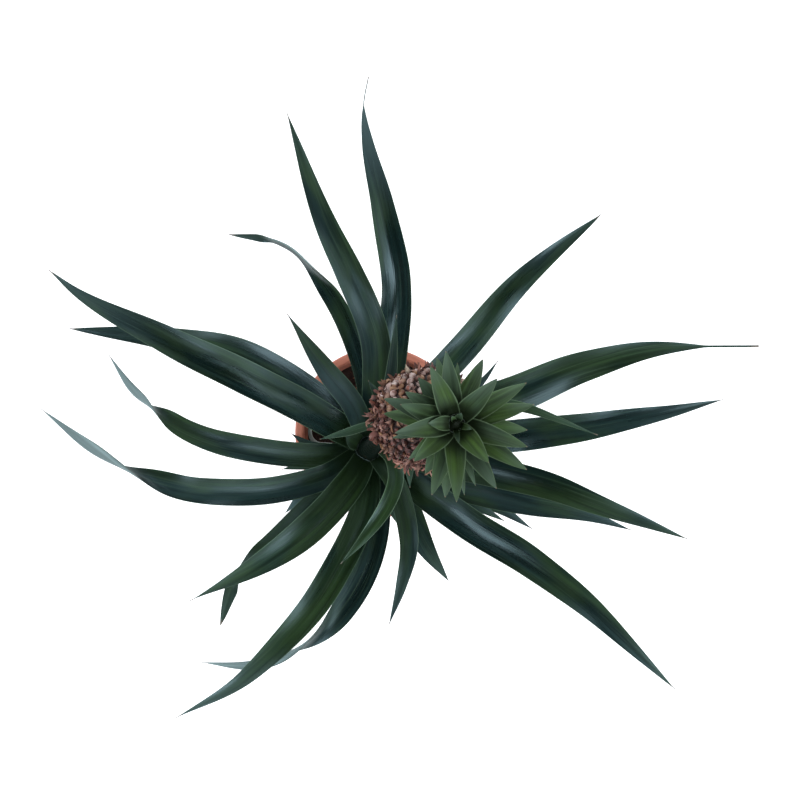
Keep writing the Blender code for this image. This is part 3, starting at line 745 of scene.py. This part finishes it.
def leaf_material(name, blue, green, margin, below, base, roughness, relief=0.10 * MM,
                  margin_from=0.92, base_shade_to=0.13, sheen=0.45, tint=(0.72, 0.97, 1.0),
                  fade_from=0.55, tip=(0.062, 0.098, 0.100)):
    """Waxy leaf: streaked green above, pale margins, scaly pale underside, dry brown tip, and a dark
    foot of painted shade.

    Across the leaf the margin begins at the share margin_from of the half-width. Along it the
    base colour, painted shade at the leaf's foot, ends at the share base_shade_to of the length.
    """
    material, tree, shader = new_material(name)
    side, along, below_it = stored(tree, "lie")
    tone, satin, fade = stored(tree, "tone")
    run = add(tree, "ShaderNodeAttribute", attribute_name="run").outputs["Vector"]
    grain = add(tree, "ShaderNodeGroup", {}, node_tree=bpy.data.node_groups["lengthwise_grain"])
    tree.links.new(run, grain.inputs["Run"])
    across = calculated(tree, "ABSOLUTE", side)
    patches, streaks, veins = (grain.outputs[name] for name in ("Patches", "Streaks", "Veins"))
    greenness = calculated(tree, "ADD", tone, fitted(tree, patches, 0.3, 0.7, -0.6, 0.6))
    colour = mixed(tree, fitted(tree, greenness, 0, 1), blue, green)
    darker = mixed(tree, 0.55, colour, (0.0, 0.0, 0.0))
    colour = mixed(tree, fitted(tree, streaks, 0.35, 0.7), darker, colour)
    colour = mixed(tree, fitted(tree, veins, 0.55, 0.75, 0, 0.22), colour, margin)
    faded = calculated(tree, "MULTIPLY", fade, fitted(tree, along, fade_from, 1.0))
    colour = mixed(tree, faded, colour, tip)
    # Painted shade: the base colour darkens the leaf's foot, where the stem and the leaves above shut
    # out the light.
    colour = mixed(tree, fitted(tree, along, base_shade_to, 0.3 * base_shade_to, 0, 0.95), colour, base)
    colour = mixed(tree, fitted(tree, across, margin_from, 1.0, 0, 0.9), colour, margin)
    shaded = tuple(0.62 * channel for channel in below)
    pale = mixed(tree, fitted(tree, streaks, 0.3, 0.7), below, shaded)
    colour = mixed(tree, below_it, colour, pale)
    colour = mixed(tree, fitted(tree, along, 0.965, 0.995, 0, 0.8), colour, (0.16, 0.12, 0.09))
    worn = calculated(tree, "ADD", calculated(tree, "MULTIPLY", streaks, 0.5), patches)
    rough = calculated(tree, "ADD", fitted(tree, worn, 0.6, 0.9, *roughness),
                       fitted(tree, satin, 0, 1.2, 0.24, -0.04))
    rough = calculated(tree, "ADD", rough, calculated(tree, "MULTIPLY", below_it, 0.25))
    shader.inputs["Specular IOR Level"].default_value = sheen
    shader.inputs["Specular Tint"].default_value = (*tint, 1)
    height = calculated(tree, "ADD", veins, calculated(tree, "MULTIPLY", streaks, 1.5))
    height = calculated(tree, "ADD", height, calculated(tree, "MULTIPLY", patches, 6))
    surfaced(tree, shader, colour, rough, height, relief, 0.8)
    return material


def leaf_piece(name, rings, vectors, tone, material, node, satin=0.5, fade=0.25):
    """One leaf as its own piece in place of its CAD node."""
    attributes = {**vectors, "tone": np.full(rings.shape, (tone, satin, fade))}
    piece = skinned(name, rings, material, attributes, sharp=60)
    if node:
        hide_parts(node)
    return piece


def long_leaf_width(t, thread, power):
    """Share of the full width: a clasping base, a broad lower half, a long taper."""
    to_tip = np.maximum(0, 1 - t - thread) / (1 - thread)
    taper = np.sin(math.pi / 2 * np.minimum(1, to_tip / 0.65)) ** power
    return taper * (1 - 0.2 * np.maximum(0, (0.25 - t) / 0.25) ** 2)


def arching_leaf(leaf, rise, fall, axis_point, axis, radius, seed):
    """A leaf from its plan points, lifted by length times (rise t - fall t^2). It rolls as it
    goes by its own twist and by a slight sway, the sum of two sine waves."""
    plan = np.array([(x * MM, y * MM, axis_point[2]) for x, y in leaf.plan])
    outwards = unit(square_to(plan[0] - axis_point, axis))
    start = axis_point + outwards * (radius + LEAF_FOOT_GAP)
    plan[:, 2] = start[2]
    route, length = smooth_route(np.vstack([start, plan]), LEAF_STATIONS)
    t = np.linspace(0, 1, LEAF_STATIONS)
    route[:, 2] += length * (rise * t - fall * t * t)
    half = np.maximum(leaf.hair * MM, leaf.width * MM / 2 * long_leaf_width(t, leaf.thread, leaf.taper))
    phases = np.random.default_rng(seed + 1000).uniform(0, 2 * math.pi, 2)
    sway = sum(np.sin(length / ripple * t + phase) for ripple, phase in zip(SWAY_RIPPLES, phases))
    rolls = LEAF_SWAY * sway * smooth_step(0.1, 0.4, t)
    for (begin, before), (end, after) in zip(leaf.twist, leaf.twist[1:]):
        rolls += math.radians(after - before) * smooth_step(begin, end, t)
    return blade(route, half, rolls, axis_point, axis, WRAP_SHARE * radius, LEAF_THICKNESS, seed)


def make_long_leaves():
    """The rosette, each leaf higher and steeper than the one before."""
    lengthwise_grain()
    # The long leaves' base colour is painted shade at their feet round the stem.
    waxy = leaf_material("long_leaf", blue=(0.0060, 0.0185, 0.0170), green=(0.0155, 0.0365, 0.0075),
                         margin=(0.07, 0.115, 0.07), below=(0.20, 0.27, 0.27),
                         base=(0.006, 0.014, 0.004), roughness=(0.26, 0.48), margin_from=0.93)
    for k, leaf in enumerate(LONG_LEAVES):
        rise = leaf.rise or FIRST_RISE + RISE_STEP * k
        fall = leaf.fall or FIRST_FALL + FALL_STEP * k
        height = FIRST_LEAF_HEIGHT + LEAF_STEP * k
        rings, vectors = arching_leaf(leaf, rise, fall, STEM_CENTRE + height * UP, UP,
                                      stem_radius(height) + STEM_GAP, 100 + k)
        leaf_piece(f"long_leaf_{k + 1:02d}", rings, vectors, leaf.tone, waxy,
                   f"rosette_leaf_{k + 1:02d}", leaf.satin, leaf.fade)
    for k, (heading, reach, height, rise, fall) in enumerate(YOUNG_LEAVES):
        plan = [tuple(STEM_CENTRE[:2] / MM + pointing(heading)[:2] * share * reach)
                for share in (0.7, 1.0)]
        young = Leaf(plan, YOUNG_LEAF_WIDTH, tone=1.0, satin=0.0)
        rings, vectors = arching_leaf(young, rise, fall, STEM_CENTRE + height * MM * UP, UP,
                                      stem_radius(height * MM) + STEM_GAP, 150 + k)
        leaf_piece(f"young_leaf_{k + 1}", rings, vectors, young.tone, waxy, None, young.satin)


make_long_leaves()

# ---------- dry leaf
# A narrow dead leaf that has dropped and dried on the soil. It is papery and bleached, and
# its end curls up inside the pot's lip.
DRY_LEAF_ROUTE = [(-25, -13, 0), (-42, -11, 0), (-52, -9.5, 2), (-57, -4, 7), (-58, 4, 12)]
DRY_LEAF_HEIGHT = 100.2 * MM
DRY_LEAF_WIDTH = 5.2 * MM
DRY_LEAF_THICKNESS = 0.6 * MM
DRY_LEAF_STATIONS = 48


def make_dry_leaf():
    """The dead leaf, a thin blade that curls up at its end."""
    straw = leaf_material("dry_leaf", blue=(0.44, 0.46, 0.43), green=(0.52, 0.51, 0.45),
                          margin=(0.60, 0.60, 0.55), below=(0.46, 0.46, 0.42), base=(0.30, 0.27, 0.22),
                          roughness=(0.6, 0.8), relief=0.25 * MM)
    points = np.array(DRY_LEAF_ROUTE) * MM + [0, 0, DRY_LEAF_HEIGHT]
    route, _ = smooth_route(points, DRY_LEAF_STATIONS)
    half = DRY_LEAF_WIDTH / 2 * (1 - 0.5 * np.linspace(0, 1, DRY_LEAF_STATIONS))
    rings, vectors = blade(route, half, np.zeros(DRY_LEAF_STATIONS), STEM_CENTRE, UP, STEM_RADIUS,
                           DRY_LEAF_THICKNESS, 41, hollow=0.2, across=9, wave=1.2 * MM)
    leaf_piece("withered_leaf", rings, vectors, 0.5, straw, "dry_leaf")


make_dry_leaf()

# ---------- leaves of the stalk
# Small narrow leaves grown singly up the fruit stalk, each with its foot wrapped round it.
# They are fresher green than the long ones, with pale edges.
STALK_GAP = 0.8 * MM

# Height on the stalk in mm, then the leaf
STALK_LEAVES = [
    (206, Leaf([(11, -20), (13, -36), (5, -56), (-10.5, -78), (-29, -99)], 12.5, rise=0.75,
               fall=0.5, tone=1.3, satin=0.9, fade=0.0)),
    (200, Leaf([(8, 32), (14, 90)], 10, rise=1.25, fall=0.45, tone=0.3)),
    (256, Leaf([(-8, 7), (-25, 2), (-44, -3)], 6.5, rise=0.5, fall=0.45, tone=0.3)),
    (238, Leaf([(52, 22), (75, 38), (89.5, 56)], 10, rise=1.0, fall=0.5, tone=0.1)),
    (252, Leaf([(22, -18), (24, -39)], 9, rise=1.0, fall=0.6, tone=0.4)),
    (264, Leaf([(60, 20), (101, 22.5), (161, 1)], 9, rise=0.8, fall=0.5, tone=0.9)),
    (278, Leaf([(4, 24), (-7, 41)], 8, rise=0.8, fall=0.5, tone=0.4)),
]


def make_stalk_leaves():
    """The stalk's leaves, each clasping it square to its own direction."""
    # The stalk leaves' base colour is painted shade where they clasp the stalk.
    fresh = leaf_material("stalk_leaf", blue=(0.008, 0.022, 0.015), green=(0.018, 0.044, 0.010),
                          margin=(0.11, 0.17, 0.10), below=(0.15, 0.21, 0.19),
                          base=(0.010, 0.020, 0.005), roughness=(0.34, 0.50), margin_from=0.86)
    t = np.linspace(0, 1, 600)
    centres = stalk_points(t)
    directions = unit(np.gradient(centres, axis=0))
    for k, (height, leaf) in enumerate(STALK_LEAVES):
        nearest = int(np.argmin(np.abs(centres[:, 2] - height * MM)))
        rings, vectors = arching_leaf(leaf, leaf.rise, leaf.fall, centres[nearest], directions[nearest],
                                      STALK_RADIUS + STALK_GAP, 200 + k)
        leaf_piece(f"small_leaf_{k + 1}", rings, vectors, leaf.tone, fresh, f"stalk_leaf_{k + 1}",
                   leaf.satin, leaf.fade)


make_stalk_leaves()

# ---------- fruit
# The young fruit: hundreds of small fruitlets fused in crossing spirals round a fleshy core.
# Each is a bead under a dry pointed bract, with the curled rest of its flower; the side
# towards +Y is fleshier and paler, and on the other side withered flowers cover it.
FRUIT_RADIUS = 35.5 * MM
FRUIT_BASE_FLAT = 12 * MM
FRUIT_TOP_FLAT = 9 * MM
CORE_DEPTH = 4.6 * MM
FRUITLET_DEPTH = 3.0 * MM
FRUITLETS = 350
KNOB_SHARE = 0.014
CORE_GRID = (60, 96)
BEAD_GRID = (6, 9)
SCALE_GRID = (7, 6)
GOLDEN_ANGLE = math.radians(137.508)
FLOWER_REMAINS = 330
FRUIT_BELLY = np.array([-3.5, 3.5, 0]) * MM
FRUIT_LENGTH = np.linalg.norm(FRUIT_TOP - FRUIT_BASE)
PALE_SIDE_FROM, PALE_SIDE_TO = 0 * MM, 22 * MM

# Least and greatest half-width of a fruitlet in mm, and what the fleshy side adds to it
FRUITLET_GIRTH = (2.0, 2.6)
FLESHY_GIRTH = 0.55

# The dry parts over the fruitlets: least and greatest length and width in mm, mean and
# spread of lean and curl and the spread of spin in radians, power of the taper, thickness
# in mm and colours
DryPart = namedtuple("DryPart", "name count length width lean curl spin point thickness colours")
DRY_PARTS = [
    DryPart("fruit_bracts", FRUITLETS, (6.5, 9.5), (2.8, 4.6), (0.8, 0.25), (0.1, 0.7), 0.4, 1.5,
            0.3, [(0.045, 0.018, 0.015), (0.12, 0.050, 0.042), (0.24, 0.13, 0.085),
                  (0.10, 0.045, 0.040)]),
    DryPart("flower_remains", FLOWER_REMAINS, (5.5, 13.0), (1.6, 3.4), (1.2, 0.5), (0.2, 1.9), 1.3,
            3.0, 0.7, [(0.08, 0.028, 0.024), (0.28, 0.10, 0.070), (0.40, 0.22, 0.17),
                       (0.13, 0.046, 0.036), (0.38, 0.20, 0.095), (0.66, 0.60, 0.50)]),
]


def turn_to(direction):
    """The matrix that turns +Z to a direction by the shortest way."""
    return np.array(Vector((0, 0, 1)).rotation_difference(Vector(direction)).to_matrix())


def fruit_radius(share):
    """Radius of the plump barrel: end + (full - end)(1 - |x|^2.6)^0.62, x from -1 to 1."""
    x = 2 * np.asarray(share) - 1
    end = np.where(x > 0, FRUIT_TOP_FLAT, FRUIT_BASE_FLAT)
    return end + (FRUIT_RADIUS - end) * np.maximum(0, 1 - np.abs(x) ** 2.6) ** 0.62


def bellied(points, share):
    """The fruit in its place: turned to its leaning axis, its middle swollen to one side by
    the belly times sin(pi share)."""
    swell = FRUIT_BELLY * np.sin(math.pi * np.asarray(share))[..., None]
    return points @ turn_to(FRUIT_AXIS).T + FRUIT_BASE + swell


def fruit_surface(count):
    """Places and outward normals of fruitlets: equal areas up the barrel, and the golden
    angle from one to the next round it."""
    share = np.linspace(0.02, 0.985, 400)
    radius = fruit_radius(share) - FRUITLET_DEPTH
    slope = np.gradient(radius, share * FRUIT_LENGTH)
    area = (radius * np.sqrt(1 + slope ** 2)).cumsum()
    wanted = np.interp((np.arange(count) + 0.5) / count, area / area[-1], share)
    angle = np.arange(count) * GOLDEN_ANGLE
    r, lean = np.interp(wanted, share, radius), np.interp(wanted, share, slope)
    normals = unit(about_z(1.0, angle, -np.clip(lean, -3, 3)))
    places = about_z(r, angle, wanted * FRUIT_LENGTH)
    return bellied(places, wanted), normals @ turn_to(FRUIT_AXIS).T


def bead_shape():
    """A fruitlet: an egg whose radius is sin(pi v)^0.7, three-sided near its puckered tip."""
    v = np.linspace(0.06, 0.96, BEAD_GRID[0])[:, None]
    angle = once_round(BEAD_GRID[1])
    radius = np.sin(math.pi * v) ** 0.7 * (1 + 0.14 * v * np.cos(3 * angle))
    return with_ends(about_z(radius, angle, 2 * v - 1))


def bract_shapes(count, length, width, lean, curl, thickness, point, random):
    """Dry scales. Each leaves the fruit at its own lean from the upward direction and bends
    further by its own curl. Its width falls as 1 - t^point with a crumple of its own, and its
    section is a shallow channel of 3 points each side."""
    t = np.linspace(0, 1, SCALE_GRID[0])
    bend = (lean[:, None] + curl[:, None] * t).clip(-4, 4)
    step = length[:, None] / len(t)
    outward = np.cumsum(np.sin(bend) * step, axis=1)
    upward = np.cumsum(np.cos(bend) * step, axis=1)
    crumple = 1 + 0.28 * np.sin(7 * t + random.uniform(0, 6, (count, 1)))
    half = width[:, None] / 2 * (1 - t ** point) * crumple + 0.08 * MM
    s = np.array([1, 0, -1, -1, 0, 1.0])
    drop = np.array([0, 0, 0, 1, 1, 1.0]) * thickness
    cup = 0.5 * np.abs(s)
    sway = random.normal(0, 0.10, (count, 1)) * length[:, None] * t ** 2
    x = half[..., None] * s + sway[..., None]
    z = outward[..., None] + half[..., None] * cup - drop
    y = upward[..., None] + np.zeros_like(x)
    rings = np.stack([x, y, z], axis=-1)
    ends = rings[:, [0, -1]].mean(axis=2)
    return np.concatenate([rings.reshape(count, -1, 3), ends], axis=1)


def rind_material(name, colours, roughness, relief, blotches=0.4, grain=700,
                  blotch=(0.085, 0.030, 0.028)):
    """Dry or fleshy fruit skin: each small shape's own chance picks its colour, and each is painted
    dark towards its foot, painted shade in the gaps between them.
    """
    material, tree, shader = new_material(name)
    place = object_place(tree)
    own, along, _ = stored(tree, "chance")
    mottle = noise(tree, place, grain, 3, 0.6)
    pick = add(tree, "ShaderNodeValToRGB", {0: own})
    ramp = pick.color_ramp
    for k, colour in enumerate(colours):
        stop = ramp.elements[k] if k < 2 else ramp.elements.new(1.0)
        stop.position = k / (len(colours) - 1)
        stop.color = (*colour, 1)
    colour = mixed(tree, fitted(tree, mottle, 0.46, 0.62, 0, blotches), pick.outputs[0], blotch)
    # Painted shade: each bead and scale darkens towards its foot, for the shade in the crevices between
    # them.
    colour = mixed(tree, fitted(tree, along, 0.6, 0.1, 0, 0.92), colour, (0.022, 0.009, 0.008))
    surfaced(tree, shader, colour, fitted(tree, mottle, 0.2, 0.8, *roughness), mottle, relief)
    return material


def cover_fruit(part, places, outward, upward, paleness, random):
    """Sets one kind of dry part on the fruitlets, each spun a little about its outward
    direction: one on every fruitlet, or else more of them where the fruit isn't pale."""
    count = part.count
    chosen = np.arange(FRUITLETS)
    if count != FRUITLETS:
        weight = 1.25 - paleness
        chosen = random.choice(FRUITLETS, count, p=weight / weight.sum())
    lengths = random.uniform(*part.length, count) * MM
    widths = random.uniform(*part.width, count) * MM
    shapes = bract_shapes(count, lengths, widths, random.normal(*part.lean, count),
                          random.normal(*part.curl, count), part.thickness * MM, part.point, random)
    out, up = outward[chosen], upward[chosen]
    aside = np.cross(up, out)
    spin = random.normal(0, part.spin, count)[:, None]
    frames = np.stack([aside * np.cos(spin) + up * np.sin(spin),
                       up * np.cos(spin) - aside * np.sin(spin), out], axis=2)
    feet = places[chosen] - up * random.uniform(1.5, 3.0, (count, 1)) * MM
    chance = np.zeros(shapes.shape)
    chance[..., 0] = (0.78 * random.uniform(0, 1, count) + 0.2 * paleness[chosen])[:, None]
    rows, around = SCALE_GRID
    chance[..., 1] = np.concatenate([np.repeat(np.linspace(0, 1, rows), around), [0, 1]])
    dry = rind_material(part.name, part.colours, (0.6, 0.85), 0.2 * MM)
    piece = scattered(part.name, shapes, skin_faces(rows, around), frames, feet, chance, dry)


def make_core():
    """The core, with low knobs where 13 waves that wind one way cross 8 that wind the other, painted
    nearly black as painted shade between the fruitlets.
    """
    share, angle = np.linspace(0, 1, CORE_GRID[0])[:, None], once_round(CORE_GRID[1])
    knobs = np.sin(13 * angle + 40 * share) * np.sin(8 * angle - 34 * share)
    radius = (fruit_radius(share) - CORE_DEPTH) * (1 + KNOB_SHARE * knobs)
    rings = bellied(about_z(radius, angle, share * FRUIT_LENGTH), share)
    flesh = rind_material("fruit_rind", [(0.025, 0.010, 0.007), (0.06, 0.026, 0.018)], (0.6, 0.8),
                          0.4 * MM)
    # With its chance all zero, the whole core takes the painted shade of a foot: nearly black, for the
    # shade between the fruitlets.
    core = skinned("fruit_core", rings, flesh, {"chance": np.zeros(rings.shape)})
    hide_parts("fruit")


def make_fruitlets():
    """The fruitlets over the core, each turned by chance, and the dry parts on them."""
    random = np.random.default_rng(11)
    places, normals = fruit_surface(FRUITLETS)
    frames = frames_from(normals, random.uniform(0, 6, FRUITLETS))
    paleness = smooth_step(PALE_SIDE_FROM, PALE_SIDE_TO, places[:, 1] - FRUIT_BASE[1])
    girth = random.uniform(*FRUITLET_GIRTH, FRUITLETS) + FLESHY_GIRTH * paleness
    girth = girth[:, None, None] * MM
    shapes = bead_shape()[None] * girth * random.uniform(0.9, 1.12, (FRUITLETS, 1, 3))
    beads_chance = np.zeros((FRUITLETS, shapes.shape[1], 3))
    hue = random.uniform(0, 1, FRUITLETS) * (0.35 + 0.3 * paleness) + 0.38 * paleness
    beads_chance[..., 0] = hue[:, None]
    beads_chance[..., 1] = (bead_shape()[:, 2] + 1) / 2
    skin = rind_material("fruitlet_skin", [(0.07, 0.026, 0.022), (0.20, 0.085, 0.068),
                                           (0.34, 0.19, 0.095), (0.43, 0.29, 0.26),
                                           (0.60, 0.50, 0.46)],
                         (0.35, 0.6), 0.2 * MM, blotches=0.75, grain=420,
                         blotch=(0.21, 0.085, 0.070))
    beads = scattered("fruitlets", shapes, skin_faces(*BEAD_GRID), frames, places, beads_chance,
                      skin)

    outward = unit(normals + 0.25 * UP)
    upward = unit(np.cross(np.cross(outward, FRUIT_AXIS), outward))
    for part in DRY_PARTS:
        cover_fruit(part, places, outward, upward, paleness, random)


make_core()
make_fruitlets()

# ---------- crown
# The tuft on the fruit: short, stiff, broad-based leaves in a close spiral round a short
# stem. Grey-green with pale edges and tips and yellower inside; down in the heart the
# leaves' feet and the bud are painted dark, painted shade.
CROWN_AXIS = unit(np.array([0.05, -0.02, 1]))
CROWN_PLACE = FRUIT_TOP + FRUIT_AXIS * 0.9 * MM
CROWN_STEM_RADIUS = 9 * MM
CROWN_STEM_LENGTH = 34 * MM
CROWN_FOOT = 3.2 * MM
CROWN_LEAF_WIDTH = 15 * MM
CROWN_LEAF_THICKNESS = 0.9 * MM
CROWN_STEP = 1.4 * MM
CROWN_CHANNEL_DEPTH = 0.2
CROWN_MARGIN_WAVE = 0.3 * MM
CROWN_STATIONS = 34
CROWN_ACROSS = 11
CROWN_RISE, CROWN_RISE_GAIN = 0.45, 1.0
CROWN_FALL, CROWN_FALL_GAIN = 0.35, 0.15

# Heading in degrees, reach in mm and tone, from the lowest leaf to the highest
CROWN_LEAVES = [
    (173, 48, 1.0), (-6, 52, 0.4), (-96, 52, 0.3), (65, 48, 0.3), (-57, 54, 0.1), (161, 51, -0.1),
    (13, 56, 0.3), (-120, 40, 0.1), (-33, 58, 0.35), (129, 40, -0.1), (30, 55, 0.5), (-109, 51, 0.3),
    (148, 40.5, -0.1), (-18, 50, 0.65), (99, 49.5, 0.35), (-91, 52, 0.45), (161, 40.5, 0.0),
    (49, 40.5, 0.5), (-140, 38.5, 0.4), (116, 43, 0.5), (-51, 33, 0.95), (-173, 43, 0.6),
]

# Small leaves inside and below those: heading, reach, foot height, rise, fall and width
INNER_LEAVES = [
    (178, 19.5, 37.5, 1.35, 0.35, 11), (-84, 13, 34, 2.1, 0.5, 4), (66, 8, 36, 2.6, 0.6, 6),
    (-20, 11, 32, 2.4, 0.7, 5), (120, 6, 36, 3.0, 1.0, 4),
]
OUTER_LEAVES = [
    (104, 46, 3.7, 0.58, 0.35, 12), (85, 41, 2.6, 0.47, 0.33, 9), (-81, 51, 3.7, 0.53, 0.3, 8),
    (-70, 47, 2.6, 0.43, 0.28, 8), (-140, 40, 3.5, 0.61, 0.35, 10), (-165, 43, 2.2, 0.39, 0.28, 9),
]


def crown_stem_radius(height):
    """The crown's stem narrows from its foot up to its top."""
    share = (height - CROWN_FOOT) / (CROWN_STEM_LENGTH - CROWN_FOOT)
    return CROWN_STEM_RADIUS * (1 - 0.45 * np.clip(share, 0, 1.4))


def short_leaf(heading, reach, height, rise, fall, width, start, seed):
    """A crown leaf: a straight plan line, lifted by reach times (rise t - fall t^2); its
    width falls towards the tip as a quarter sine wave to the power 0.8."""
    t = np.linspace(0, 1, CROWN_STATIONS)
    run = reach - start
    route = pointing(heading) * (start + run * t)[:, None]
    route[:, 2] = height + run * (rise * t - fall * t * t)
    half = width / 2 * np.maximum(0.02, np.sin(math.pi / 2 * np.minimum(1, (1 - t) / 0.85)) ** 0.8)
    rings, vectors = blade(route, half, np.zeros(CROWN_STATIONS), np.zeros(3), UP,
                           WRAP_SHARE * start, CROWN_LEAF_THICKNESS, seed,
                           hollow=CROWN_CHANNEL_DEPTH, across=CROWN_ACROSS, wave=CROWN_MARGIN_WAVE)
    return rings @ turn_to(CROWN_AXIS).T + CROWN_PLACE, vectors


def make_crown():
    """The crown's leaves in their spiral, and the small ones inside and below them."""
    # The crown leaves' base colour, reaching far up them, is painted shade down in the crown's heart.
    green = leaf_material("crown_leaf", blue=(0.034, 0.062, 0.036), green=(0.049, 0.099, 0.020),
                          margin=(0.095, 0.145, 0.080), below=(0.14, 0.19, 0.16),
                          base=(0.004, 0.009, 0.002), roughness=(0.46, 0.66), margin_from=0.82,
                          fade_from=0.45, tip=(0.070, 0.112, 0.082), base_shade_to=0.42, sheen=0.4,
                          tint=(0.85, 1.0, 0.7))
    for k, (heading, reach, tone) in enumerate(CROWN_LEAVES):
        inward = k / (len(CROWN_LEAVES) - 1)
        height = CROWN_FOOT + CROWN_STEP * (k + 0.3)
        rings, vectors = short_leaf(heading, reach * MM, height, CROWN_RISE + CROWN_RISE_GAIN * inward,
                                    CROWN_FALL + CROWN_FALL_GAIN * inward, CROWN_LEAF_WIDTH,
                                    crown_stem_radius(height) + LEAF_FOOT_GAP, 300 + k)
        leaf_piece(f"tuft_leaf_{k + 1:02d}", rings, vectors, tone, green,
                   f"crown_leaf_{k + 1:02d}", fade=0.6 - 0.3 * tone)
    for k, (heading, reach, height, rise, fall, width) in enumerate(INNER_LEAVES + OUTER_LEAVES):
        start = min(crown_stem_radius(height * MM), 0.35 * reach * MM)
        rings, vectors = short_leaf(heading, reach * MM, height * MM, rise, fall, width * MM, start,
                                    400 + k)
        leaf_piece(f"tuft_small_leaf_{k + 1:02d}", rings, vectors, 0.4, green, None,
                   satin=0.9 if k < len(INNER_LEAVES) else 0.5, fade=0.7)


def make_crown_heart():
    """The crown's own stem, turned, with the bud on its end, painted nearly black as painted shade
    between the leaves.
    """
    profile = [(2 * MM, 0), (CROWN_STEM_RADIUS, CROWN_FOOT)]
    profile += [(crown_stem_radius(h * MM), h * MM) for h in (8, 14, 20, 26, 32)]
    profile += [(4.6 * MM, 34 * MM), (3 * MM, 37 * MM), (1.2 * MM, 39 * MM)]
    rings = turned_rings(profile, STEM_STEPS) @ turn_to(CROWN_AXIS).T + CROWN_PLACE
    material, tree, shader = new_material("crown_bud")
    place = object_place(tree)
    # Painted shade: the bud is coloured nearly black for the deep shade in the crown's heart.
    colour = mixed(tree, noise(tree, place, 300, 4), (0.002, 0.004, 0.001), (0.006, 0.011, 0.003))
    surfaced(tree, shader, colour, fitted(tree, noise(tree, place, 600), 0, 1, 0.5, 0.7),
             noise(tree, place, 900), 0.3 * MM)
    bud = skinned("crown_heart", rings, material)
    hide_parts("crown_stem")


make_crown()
make_crown_heart()
